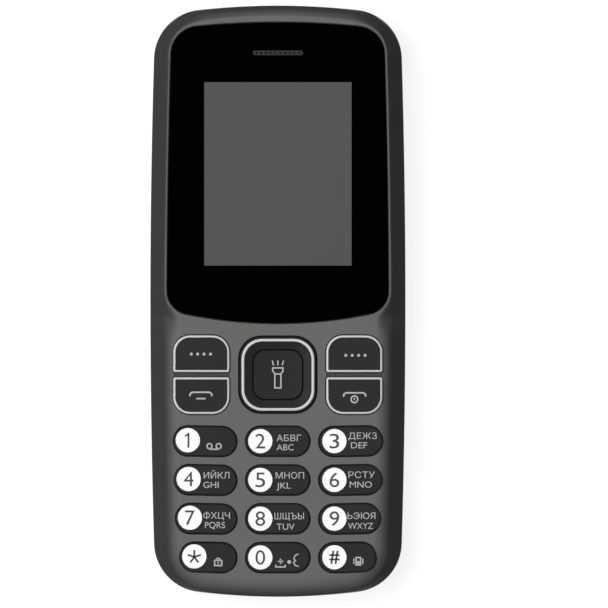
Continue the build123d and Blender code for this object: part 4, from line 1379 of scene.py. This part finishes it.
@dataclass
class DisplayWindow:
    """The black window with the earpiece slot through it."""

    edge_radius: float = 0.1
    slot_size: Point = (9.7, 1.0)
    slot_softness: float = 0.08
    panel_borders: Point = (5.7, 2.66)
    edge_steps: int = 5

    def build(self) -> None:
        """Makes the window and cuts the earpiece slot through it."""
        low, high = node_box("display_lens")
        outline = lens_outline()
        steps = [(0.0, low.z)]
        for step in range(self.edge_steps + 1):
            angle = math.pi / 2 * step / self.edge_steps
            steps.append((self.edge_radius * (1 - math.cos(angle)),
                          high.z - self.edge_radius * (1 - math.sin(angle))))
        maker = MeshMaker()
        maker.profile(lambda inset: grown(outline, -inset).points(), steps)
        finish = WindowFinish(view_centre=(0.0, self.view_middle()))
        place_piece("display_window", cut(maker.data(), self.slot_cutter(low.z, high.z)),
                    finish.material(), "root", ["display_lens"])

    def slot_cutter(self, low_z: float, high_z: float) -> bpy.types.Mesh:
        """A cutter for the earpiece slot, a little wider at the window's face.

        Args:
            low_z: Height of the window's underside.
            high_z: Height of its face.

        Returns:
            The closed solid to take away.
        """
        low, high = node_box("earpiece_mesh")
        slot_y = (low.y + high.y) / 2
        tool = MeshMaker()
        tool.profile(lambda inset: self.slot_loop(slot_y, inset),
                     [(0.0, low_z - OVERRUN), (0.0, high_z - self.slot_softness),
                      (-self.slot_softness, high_z), (-self.slot_softness, high_z + OVERRUN)])
        return tool.data()

    def slot_loop(self, slot_y: float, inset: float) -> Loop:
        """The earpiece slot drawn in by an inset."""
        width, height = (size - 2 * inset for size in self.slot_size)
        return rounded_rectangle(width, height, (height / 2,) * 4, (0.0, slot_y))

    def view_middle(self) -> float:
        """Y of the visible display's middle, between the borders of its panel."""
        low, high = node_box("lcd_panel")
        return (low.y + self.panel_borders[0] + high.y - self.panel_borders[1]) / 2


# What is printed on the keys

class Print:
    """Flat shapes of ink with a little thickness, gathered into one piece.

    Attributes:
        CAPITAL_HEIGHT: Height of a capital, in the font's own units.
        WELD: Distance below which corners are joined, in metres.
    """

    CAPITAL_HEIGHT = 0.7
    WELD = 1e-7

    def __init__(self, low_z: float, high_z: float) -> None:
        """Starts an empty print.

        Args:
            low_z: Height of its underside.
            high_z: Height of its top.
        """
        self.low_z = low_z
        self.high_z = high_z
        self.maker = MeshMaker()

    def polygon(self, loop: Loop) -> None:
        """Adds a filled outline."""
        self.maker.loft([self.maker.ring(loop, self.low_z), self.maker.ring(loop, self.high_z)])

    def dot(self, centre: Point, radius: float, steps: int = 24) -> None:
        """Adds a filled circle."""
        self.polygon(round_points(centre, radius, -2 * math.pi / steps, steps))

    def stroke(self, points: Sequence[Point], width: float, closed: bool = False) -> None:
        """Adds a line of one width with mitred corners.

        Args:
            points: The line's points.
            width: Its width.
            closed: True to join its end to its start.
        """
        sides = [offset_line(points, width / 2, closed), offset_line(points, -width / 2, closed)]
        if closed:
            rings = [self.maker.ring(loop, z) for loop, z in
                     ((sides[0], self.low_z), (sides[0], self.high_z),
                      (sides[1], self.high_z), (sides[1], self.low_z))]
            self.maker.loft(rings, closed=True)
        else:
            for (a, b), (c, d) in zip(zip(sides[0], sides[1]), zip(sides[0][1:], sides[1][1:])):
                self.polygon([a, c, d, b])

    def circle(self, centre: Point, radius: float, width: float, steps: int = 28) -> None:
        """Adds a round line."""
        self.stroke(round_points(centre, radius, 2 * math.pi / steps, steps), width, closed=True)

    def text(self, words: str, height: float, width: float, place: Point, centred: bool = False) -> None:
        """Adds lettering.

        Args:
            words: The characters.
            height: Height of a capital, or of the shape itself where it is centred.
            width: Width of all the characters.
            place: Left end of the base line, or the middle where it is centred.
            centred: True to centre the shape on the place.
        """
        spots, triangles = filled(letter_outlines(words))
        xs = [spot[0] for spot in spots]
        ys = [spot[1] for spot in spots]
        scale_x = width / (max(xs) - min(xs))
        scale_y = height / (max(ys) - min(ys) if centred else self.CAPITAL_HEIGHT)
        shift_x = (min(xs) + max(xs)) / 2 if centred else min(xs)
        shift_y = (min(ys) + max(ys)) / 2 if centred else 0.0
        placed = [(place[0] + (x - shift_x) * scale_x, place[1] + (y - shift_y) * scale_y) for x, y in spots]
        low, high = (self.maker.ring(placed, z) for z in (self.low_z, self.high_z))
        faces = self.maker.mesh.faces
        sides = {(corners[index - 1], corners[index]) for corners in triangles for index in range(3)}
        for corners in triangles:
            faces.new([high[index] for index in corners])
            faces.new([low[index] for index in reversed(corners)])
        for first, second in sorted(sides):
            if (second, first) not in sides:
                faces.new([low[first], low[second], high[second], high[first]])

    def place(self, name: str, finish: Finish, body: str) -> None:
        """Turns the print into a piece."""
        bmesh.ops.remove_doubles(self.maker.mesh, verts=self.maker.mesh.verts[:], dist=self.WELD)
        place_piece(name, self.maker.data(), finish.material(), body)


def letter_outlines(words: str) -> list[Loop]:
    """The outlines of the characters, in the font's own units.

    Args:
        words: The characters.

    Returns:
        One closed outline for each stroke or hole, with points along its bends.
    """
    bend_steps, straight_steps = 6, 2
    curve = bpy.data.curves.new("lettering", "FONT")
    curve.body = words
    holder = add_object("lettering", curve)
    bpy.context.view_layer.update()
    graph = bpy.context.evaluated_depsgraph_get()
    outlines = []
    for spline in holder.evaluated_get(graph).to_curve(graph).splines:
        knots = list(spline.bezier_points)
        loop = []
        for knot, after in zip(knots, knots[1:] + knots[:1]):
            span = after.co - knot.co
            handles = (knot.handle_right - knot.co, after.handle_left - after.co)
            bent = max(abs(handle.cross(span).z) for handle in handles) > SAME_PLACE
            steps = bend_steps if bent else straight_steps
            spots = interpolate_bezier(knot.co, knot.handle_right, after.handle_left, after.co, steps)
            loop += [(spot.x, spot.y) for spot in spots[:-1]]
        outlines.append(loop)
    bpy.data.objects.remove(holder)
    bpy.data.curves.remove(curve)
    return outlines


def turns_round(spot: Point, outline: Loop) -> int:
    """How many times an outline runs round a spot, anticlockwise.

    Args:
        spot: The spot.
        outline: The closed outline.

    Returns:
        The number of turns, less those that run clockwise.
    """
    x, y = spot
    turns = 0
    for (start_x, start_y), (end_x, end_y) in zip(outline, outline[1:] + outline[:1]):
        if (start_y > y) != (end_y > y):
            crossing_x = start_x + (end_x - start_x) * (y - start_y) / (end_y - start_y)
            if crossing_x > x:
                turns += 1 if end_y > start_y else -1
    return turns


def filled(outlines: list[Loop]) -> tuple[Loop, list[list[int]]]:
    """Fills outlines that may cross each other.

    Args:
        outlines: Closed outlines. One that turns the other way is a hole.

    Returns:
        The corners, and the triangles as indices into them.
    """
    spots = []
    edges = []
    for outline in outlines:
        first, count = len(spots), len(outline)
        edges += [(first + index, first + (index + 1) % count) for index in range(count)]
        spots += [Vector(spot) for spot in outline]
    corners, _, triangles, _, _, _ = delaunay_2d_cdt(spots, edges, [], 0, SAME_PLACE)
    kept = []
    for triangle in triangles:
        middle = sum((corners[index] for index in triangle), Vector((0.0, 0.0))) / 3
        if sum(turns_round((middle.x, middle.y), outline) for outline in outlines):
            kept.append(list(triangle))
    used = sorted({index for triangle in kept for index in triangle})
    order = {index: number for number, index in enumerate(used)}
    return ([(corners[index].x, corners[index].y) for index in used],
            [[order[index] for index in triangle] for triangle in kept])


def offset_line(points: Sequence[Point], distance: float, closed: bool) -> Loop:
    """A line shifted to one side, with mitred corners.

    Args:
        points: The line's points.
        distance: How far, to the left of its run.
        closed: True where its end joins its start.

    Returns:
        The shifted line.
    """
    sharpest = 0.5
    count = len(points)
    line = []
    for index, (x, y) in enumerate(points):
        before = points[index - 1] if closed or index > 0 else None
        after = points[(index + 1) % count] if closed or index < count - 1 else None
        directions = [Vector((b[0] - a[0], b[1] - a[1])).normalized()
                      for a, b in ((before, (x, y)), ((x, y), after)) if a and b]
        normals = [Vector((-d.y, d.x)) for d in directions]
        mitre = sum(normals, Vector((0.0, 0.0))).normalized()
        reach = distance / max(mitre.dot(normals[0]), sharpest)
        line.append((x + mitre.x * reach, y + mitre.y * reach))
    return line


# The parts of drawn signs

@dataclass(frozen=True)
class Stroke:
    """One line of a sign.

    Attributes:
        points: Its points, from the sign's middle.
        share: Its width, as a share of the sign's line.
        closed: True where its end joins its start.
    """

    points: tuple[Point, ...]
    share: float = 1.0
    closed: bool = False

    def draw(self, ink: Print, middle: Point, line: float) -> None:
        """Draws the line round the sign's middle."""
        ink.stroke([shifted(point, middle) for point in self.points], line * self.share, self.closed)


@dataclass(frozen=True)
class Ring:
    """One round line of a sign.

    Attributes:
        centre: Its centre, from the sign's middle.
        radius: Its radius.
        share: Its width, as a share of the sign's line.
    """

    centre: Point
    radius: float
    share: float = 1.0

    def draw(self, ink: Print, middle: Point, line: float) -> None:
        """Draws the round line."""
        ink.circle(shifted(self.centre, middle), self.radius, line * self.share)


@dataclass(frozen=True)
class Dot:
    """One filled circle of a sign.

    Attributes:
        centre: Its centre, from the sign's middle.
        radius: Its radius.
    """

    centre: Point
    radius: float

    def draw(self, ink: Print, middle: Point, _: float) -> None:
        """Draws the filled circle, whatever the width of the lines."""
        ink.dot(shifted(self.centre, middle), self.radius)


@dataclass(frozen=True)
class Sign:
    """A drawn sign.

    Attributes:
        middle: Its middle, from the place that the key gives it.
        parts: Its lines, round lines and dots.
    """

    middle: Point
    parts: tuple[Stroke | Ring | Dot, ...]

    def draw(self, ink: Print, place: Point, line: float) -> None:
        """Draws every part with lines of one width."""
        for part in self.parts:
            part.draw(ink, shifted(self.middle, place), line)


def shifted(point: Point, by: Point) -> Point:
    """A point moved by another."""
    return point[0] + by[0], point[1] + by[1]


def half_circle(centre: Point, radius: float, steps: int = 10) -> tuple[Point, ...]:
    """The upper half of a circle, from right to left."""
    return tuple(round_points(centre, radius, math.pi / steps, steps + 1))


def star_arms(count: int, length: float) -> tuple[Stroke, ...]:
    """Arms from the middle, the first one upright."""
    angles = [math.radians(90 + 360 * arm / count) for arm in range(count)]
    return tuple(Stroke(((0.0, 0.0), (length * math.cos(a), length * math.sin(a)))) for a in angles)


def handset(across: float, up: float) -> Stroke:
    """A handset that lies face down."""
    points = ((-2.1, -0.75), (-2.05, -0.3), (-1.65, 0.0), (1.65, 0.0), (2.05, -0.3), (2.1, -0.75))
    return Stroke(tuple(shifted(point, (across, up)) for point in points))


# Number keys

ONE = Sign((0.12, 0.0), (Stroke(((0.0, -1.4), (0.0, 1.4))), Stroke(((0.1, 1.24), (-0.68, 0.78)), 0.85)))
STAR = Sign((0.0, -0.1), star_arms(5, 1.32))
HASH = Sign((0.0, 0.0), (
    Stroke(((-0.6, -1.25), (-0.2, 1.25))), Stroke(((-1.0, -0.42), (1.0, -0.42)), 0.9),
    Stroke(((0.2, -1.25), (0.6, 1.25))), Stroke(((-1.0, 0.42), (1.0, 0.42)), 0.9)))
RECORDED_MESSAGES = Sign((3.5, -1.72), (
    Ring((0.62, 0.6), 0.48), Ring((2.38, 0.6), 0.48), Stroke(((0.62, 0.0), (2.38, 0.0)))))
PADLOCK = Sign((4.55, -1.25), (
    Stroke(((-0.68, -0.475), (-0.68, 0.475), (0.68, 0.475), (0.68, -0.475)), closed=True),
    Stroke(half_circle((0.0, 0.475), 0.42)), Dot((0.0, 0.0), 0.17)))
PLUS_AND_VOICE = Sign((3.85, -0.75), (
    Stroke(((-0.52, 0.0), (0.52, 0.0))), Stroke(((0.0, 0.5), (0.0, -0.5))),
    Stroke(((-0.9, -0.62), (-0.9, -1.05), (0.9, -1.05), (0.9, -0.62))), Dot((1.65, -0.1), 0.36),
    Stroke(((3.4, 1.4), (2.8, 1.15), (2.5, 0.55), (2.85, 0.1), (2.5, -0.15), (2.72, -0.7), (3.45, -1.0)),
           0.85)))
SHAKING_HANDSET = Sign((4.55, -0.75), (
    Stroke(((-0.42, -0.72), (-0.42, 0.72), (0.42, 0.72), (0.42, -0.72)), closed=True),
    Dot((0.0, -0.25), 0.3),
    Stroke(((-0.85, -0.55), (-0.85, 0.55)), 0.8), Stroke(((0.85, -0.55), (0.85, 0.55)), 0.8)))

DRAWN_DIGITS = {"key_1": ONE, "key_star": STAR, "key_hash": HASH}
KEY_SIGNS = {"key_1": RECORDED_MESSAGES, "key_star": PADLOCK, "key_0": PLUS_AND_VOICE,
             "key_hash": SHAKING_HANDSET}


@dataclass(frozen=True)
class TextLine:
    """Characters in one line, placed from the middle of the key's disc.

    Attributes:
        words: The characters.
        start: Left end of the base line.
        width: Width of the whole line.
    """

    words: str
    start: Point
    width: float


LETTERS = {
    "key_2": (TextLine("АБВГ", (3.11, 0.0), 4.67), TextLine("ABC", (3.11, -1.75), 3.24)),
    "key_3": (TextLine("ДЕЖЗ", (2.67, 0.41), 5.4), TextLine("DEF", (3.14, -1.37), 3.11)),
    "key_4": (TextLine("ИЙКЛ", (2.86, 0.1), 4.92), TextLine("GHI", (2.79, -1.68), 2.92)),
    "key_5": (TextLine("МНОП", (2.92, 0.25), 5.4), TextLine("JKL", (3.11, -1.65), 2.67)),
    "key_6": (TextLine("РСТУ", (2.67, 0.38), 5.02), TextLine("MNO", (2.92, -1.46), 4.22)),
    "key_7": (TextLine("ФХЦЧ", (2.54, -0.16), 5.08), TextLine("PQRS", (2.86, -1.95), 3.81)),
    "key_8": (TextLine("ШЩЪЫ", (2.7, -0.1), 5.6), TextLine("TUV", (3.11, -2.1), 3.4)),
    "key_9": (TextLine("ЬЭЮЯ", (2.5, -0.06), 5.3), TextLine("WXYZ", (2.6, -1.95), 4.76)),
}


@dataclass
class NumberKeys:
    """The twelve number keys: a white disc with its digit, and small light characters."""

    layout: KeyLayout = field(default_factory=KeyLayout)
    disc_radius: float = 2.3
    disc_inset: float = 2.75
    column_shift: tuple[float, float, float] = (0.0, -0.05, 0.15)
    column_lift: tuple[float, float, float] = (0.2, 0.03, 0.03)
    digit_height: float = 2.8
    digit_width: float = 1.85
    digit_line: float = 0.36
    letter_height: float = 1.18
    ink: float = 0.02
    line: float = 0.26

    def build(self) -> None:
        """Makes the disc, the digit and the small characters of every key."""
        for index, node in enumerate(self.layout.number_keys):
            outline = self.layout.outline(node)
            column = index % self.layout.columns
            centre = (outline.left + self.disc_inset + self.column_shift[column],
                      outline.centre[1] + self.column_lift[column])
            top = node_box(node)[1].z
            self.disc(node, centre, top)
            self.digit(node, centre, top)
            self.legend(node, centre, top)

    def disc(self, node: str, centre: Point, top: float) -> None:
        """Makes the white disc under a key's digit.

        Args:
            node: The key.
            centre: The disc's middle.
            top: Height of the key's face.
        """
        maker = MeshMaker()
        maker.profile(lambda inset: round_loop(centre, self.disc_radius - inset),
                      [(0.0, top - self.ink), (0.0, top + self.ink / 2), (self.ink, top + self.ink)])
        place_piece(f"disc_{node}", maker.data(), DISC_WHITE.material(), node)

    def digit(self, node: str, centre: Point, top: float) -> None:
        """Makes the dark digit or sign on a key's disc.

        Args:
            node: The key, whose name ends in its digit where it has one.
            centre: The disc's middle.
            top: Height of the key's face.
        """
        ink = Print(top + self.ink, top + 2 * self.ink)
        if node in DRAWN_DIGITS:
            DRAWN_DIGITS[node].draw(ink, centre, self.digit_line)
        else:
            ink.text(node[-1], self.digit_height, self.digit_width, centre, centred=True)
        ink.place(f"digit_{node}", DIGIT_INK, node)

    def legend(self, node: str, centre: Point, top: float) -> None:
        """Makes the small light letters and signs beside a key's disc.

        Args:
            node: The key.
            centre: The disc's middle.
            top: Height of the key's face.
        """
        ink = Print(top - self.ink, top + self.ink)
        for line in LETTERS.get(node, ()):
            ink.text(line.words, self.letter_height, line.width, shifted(line.start, centre))
        if node in KEY_SIGNS:
            KEY_SIGNS[node].draw(ink, centre, self.line)
        ink.place(f"legend_{node}", LEGEND_INK, node)


# Command keys

FOUR_DOTS = tuple(Dot((place, 0.0), 0.28) for place in (-1.83, -0.61, 0.61, 1.83))
COMMAND_SIGNS = {
    "soft_key_left": Sign((-0.1, -0.06), FOUR_DOTS),
    "soft_key_right": Sign((0.2, -0.3), FOUR_DOTS),
    "call_key": Sign((-0.1, 0.0), (handset(0.0, 0.65), Stroke(((-0.9, -0.55), (0.9, -0.55))))),
    "end_key": Sign((0.0, 0.0), (handset(0.05, 0.55), Ring((0.0, -0.68), 0.64, 0.9),
                                 Stroke(((0.0, -0.85), (0.0, -0.4)), 0.8))),
}


@dataclass
class CommandKeys:
    """The soft, call and end keys, each with a pale rim and a sign.

    The rim's section is a rounded cap over the key's edge, as pairs of inset and depth below the
    key's top.
    """

    layout: KeyLayout = field(default_factory=KeyLayout)
    rim_section: tuple[Point, ...] = ((-0.02, 0.35), (-0.02, 0.2), (0.02, 0.08), (0.1, 0.01),
                                      (0.2, -0.03), (0.34, -0.03), (0.4, 0.01), (0.4, 0.35))
    ink: float = 0.02
    line: float = 0.3

    def build(self) -> None:
        """Makes the rims and signs of every command key."""
        for node in self.layout.command_keys:
            outline = self.layout.outline(node)
            top = node_box(node)[1].z
            section = [(inset, top - depth) for inset, depth in self.rim_section]
            rim = MeshMaker()
            rim.profile(outline.loop, section, closed=True)
            place_piece(f"rim_{node}", rim.data(), RIM_LIGHT.material(), node)
            ink = Print(top - self.ink, top + self.ink)
            COMMAND_SIGNS[node].draw(ink, outline.centre, self.line)
            ink.place(f"sign_{node}", LEGEND_INK, node)


# Navigation ring

TORCH = Sign((0.0, 0.0), (
    Stroke(((-0.98, 1.3), (0.98, 1.3), (0.98, 0.75), (0.58, 0.15), (-0.58, 0.15), (-0.98, 0.75)),
           closed=True),
    Stroke(((-0.58, 0.02), (-0.58, -2.5), (0.58, -2.5), (0.58, 0.02))),
    *(Stroke(((side * 0.82, 1.8), (side * 1.08, 2.7)), 0.95) for side in (-1, 0, 1))))


@dataclass
class Navigation:
    """The navigation ring with its pale line, and the torch sign on the centre key.

    The sections are pairs of a distance and a depth below the ring's top. The distance counts from
    the outline in the shoulder, from the pale line's inner edge in the dip, from the hole in the
    hole's edge, and from either edge of the line in the line's own section.
    """

    layout: KeyLayout = field(default_factory=KeyLayout)
    ok_width: float = 9.3
    ok_gap: float = 0.16
    corner_share: float = 0.75
    smallest_corner: float = 2.4
    flange_height: float = 0.45
    shoulder: tuple[Point, ...] = ((0.0, 0.42), (0.05, 0.24), (0.16, 0.12), (0.32, 0.07))
    dip: Point = (0.25, 0.1)
    hole_edge: tuple[Point, ...] = ((0.3, 0.38), (0.06, 0.44), (0.0, 0.52))
    line_start: float = 0.45
    line_width: float = 0.48
    line_bed: float = 0.06
    line_section: tuple[Point, ...] = ((0.0, 0.3), (0.0, 0.05), (0.07, 0.01))
    sign_line: float = 0.26
    sign_heights: Point = (-0.2, 0.03)

    def build(self) -> None:
        """Makes the ring, its line and the sign."""
        self.ring()
        self.pale_line()
        self.torch_sign()

    def ring(self) -> None:
        """Makes the ring, with its flange below, a bed for the pale line and a slope to the hole."""
        low, high = node_box("nav_ring_key")
        top, flange_top = high.z, low.z + self.flange_height
        hole, flange = self.hole_inset(), self.layout.flange
        line_end = self.line_start + self.line_width
        maker = MeshMaker()
        maker.profile(self.ring_loop, [
            (-flange, low.z), (-flange, flange_top), (0.0, flange_top),
            *((inset, top - depth) for inset, depth in self.shoulder),
            (self.line_start, top - self.line_bed), (line_end, top - self.line_bed),
            (line_end + self.dip[0], top - self.dip[1]),
            *((hole - short, top - depth) for short, depth in self.hole_edge),
            (hole, low.z)], closed=True)
        place_piece("navigation_ring", maker.data(), NAV_BLACK.material(), "nav_ring",
                    ["nav_ring_key"])

    def pale_line(self) -> None:
        """Makes the pale line that runs round the ring."""
        top = node_box("nav_ring_key")[1].z
        line_end = self.line_start + self.line_width
        rise = [(self.line_start + inset, top - depth) for inset, depth in self.line_section]
        fall = [(line_end - inset, top - depth) for inset, depth in reversed(self.line_section)]
        maker = MeshMaker()
        maker.profile(self.ring_loop, [*rise, (self.line_start + self.line_width / 2, top), *fall],
                      closed=True)
        place_piece("navigation_line", maker.data(), RIM_LIGHT.material(), "nav_ring")

    def hole_inset(self) -> float:
        """How far the hole for the centre key lies inside the ring's sides."""
        return (self.layout.outline("nav_ring_key").width - self.ok_width) / 2 - self.ok_gap

    def ring_loop(self, inset: float) -> Loop:
        """The ring's outline drawn in, with generous corners, down to the square hole.

        Args:
            inset: The inset, negative to grow it.

        Returns:
            The closed loop.
        """
        outline = self.layout.outline("nav_ring_key")
        radius = max(outline.radii[0] - self.corner_share * inset, self.smallest_corner)
        squaring = (outline.width - outline.height) * min(max(inset, 0.0) / self.hole_inset(), 1.0)
        return rounded_rectangle(outline.width - 2 * inset, outline.height - 2 * inset + squaring,
                                 (radius,) * 4, outline.centre)

    def torch_sign(self) -> None:
        """Makes the torch with three rays, on the centre key's dish."""
        low, high = node_box("ok_key")
        ink = Print(*(high.z + height for height in self.sign_heights))
        TORCH.draw(ink, ((low.x + high.x) / 2, (low.y + high.y) / 2), self.sign_line)
        ink.place("torch_sign", LEGEND_INK, "ok_key")


# Everything that keeps its own solid

def dress_nodes(frame: dict) -> None:
    """Gives each node of the frame its own finish or that of its material slot.
    """
    slots = {part["node"]: part["material_slot"] for part in frame["record"]["subparts"]}
    for name, thing in frame["nodes"].items():
        finish = NODE_FINISHES.get(name) or SLOT_FINISHES.get(slots[name])
        if finish:
            dress(thing, finish.material())
            LOG.info("dressed %s in %s", name, finish.name)


# Studio

def seen_directly(tree: Tree) -> Socket:
    """1 for what the camera sees, also in a mirror or through glass, and 0 for bounced light.

    Args:
        tree: The node tree.

    Returns:
        The value's socket.
    """
    path = add_node(tree, "ShaderNodeLightPath")
    seen = math_node(tree, "MAXIMUM", path.outputs["Is Camera Ray"], path.outputs["Is Glossy Ray"])
    return math_node(tree, "MAXIMUM", seen, path.outputs["Is Transmission Ray"])


@dataclass
class Studio:
    """The floor, the lamp, the world and the camera.

    The floor can't be seen from below, and lets the surround's light up to the phone's underside.
    """

    picture_width: float = 115.7
    view_centre: Point = (4.97, -0.53)
    face_z: float = FACE_Z
    camera_height: float = 4000.0
    sensor: float = 36.0
    floor_half: float = 40000.0
    floor_colour: Colour = grey(0.2)
    floor_roughness: float = 0.9
    floor_specular: float = 0.1
    floor_glow: float = 0.88
    floor_gap: float = 0.05
    lamp_place: tuple[float, float, float] = (-566.0, 197.0, 1400.0)
    lamp_size: float = 1000.0
    lamp_power: float = 25.6
    zenith: float = 0.02
    horizon: float = 0.16
    zenith_height: float = 0.9

    def build(self) -> None:
        """Sets the scene round the phone."""
        self.floor()
        self.world()
        self.lamp()
        self.camera()
        bpy.context.scene.view_settings.view_transform = "Standard"

    def floor(self) -> None:
        """A plain pale floor under the phone's back."""
        half = self.floor_half
        maker = MeshMaker()
        corners = [(-half, -half), (half, -half), (half, half), (-half, half)]
        maker.mesh.faces.new(maker.ring(corners, -self.floor_gap))
        floor = add_object("floor", maker.data())
        material, tree, shader = new_material("pale_floor")
        set_inputs(shader, Base_Color=(*self.floor_colour, 1.0), Roughness=self.floor_roughness,
                   Specular_IOR_Level=self.floor_specular, Emission_Color=(*grey(1.0), 1.0))
        glow = math_node(tree, "MULTIPLY", seen_directly(tree), self.floor_glow)
        tree.links.new(glow, shader.inputs["Emission Strength"])
        below = add_node(tree, "ShaderNodeNewGeometry").outputs["Backfacing"]
        bounce = add_node(tree, "ShaderNodeLightPath").outputs["Is Diffuse Ray"]
        mix = add_node(tree, "ShaderNodeMixShader")
        tree.links.new(math_node(tree, "MAXIMUM", below, bounce), mix.inputs[0])
        tree.links.new(shader.outputs[0], mix.inputs[1])
        tree.links.new(add_node(tree, "ShaderNodeBsdfTransparent").outputs[0], mix.inputs[2])
        tree.links.new(mix.outputs[0], tree.nodes["Material Output"].inputs["Surface"])
        dress(floor, material)

    def world(self) -> None:
        """A soft surround, darker overhead, that is seen directly as white."""
        world = bpy.data.worlds.new("soft_surround")
        world.use_nodes = True
        tree = world.node_tree
        rise = add_node(tree, "ShaderNodeMapRange", interpolation_type="SMOOTHSTEP")
        set_inputs(rise, From_Min=0.0, From_Max=self.zenith_height)
        tree.links.new(coordinate_parts(tree, "Generated")["Z"], rise.inputs["Value"])
        colour = mix_colour(tree, rise.outputs["Result"], grey(self.horizon), grey(self.zenith))
        colour = mix_colour(tree, seen_directly(tree), colour, grey(1.0))
        tree.links.new(colour, tree.nodes["Background"].inputs["Color"])
        bpy.context.scene.world = world

    def lamp(self) -> None:
        """One large soft lamp, up and to the left."""
        light = bpy.data.lights.new("soft_lamp", "AREA")
        light.shape = "DISK"
        light.size = self.lamp_size * MM
        light.energy = self.lamp_power
        lamp = add_object("soft_lamp", light)
        lamp.location = Vector(self.lamp_place) * MM
        lamp.rotation_euler = (-lamp.location).to_track_quat("-Z", "Y").to_euler()

    def camera(self) -> None:
        """A long lens straight above the phone, with the earpiece at the top of the picture."""
        data = bpy.data.cameras.new("camera")
        data.sensor_width = self.sensor
        data.lens = self.sensor * self.camera_height / self.picture_width
        camera = add_object("camera", data)
        camera.location = (self.view_centre[0] * MM, self.view_centre[1] * MM,
                           (self.face_z + self.camera_height) * MM)
        bpy.context.scene.camera = camera


def clear_scene() -> None:
    """Removes what Blender starts with."""
    for thing in list(bpy.data.objects):
        bpy.data.objects.remove(thing)


def main() -> None:
    """Builds the phone's looks and its surroundings."""
    logging.basicConfig(level=logging.INFO, format="%(name)s: %(message)s")
    clear_scene()
    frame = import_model()
    Studio().build()
    dress_nodes(frame)
    for assembly in (FrontShell(), DisplayWindow(), Navigation(), CommandKeys(), NumberKeys()):
        assembly.build()


if __name__ == "__main__":
    main()
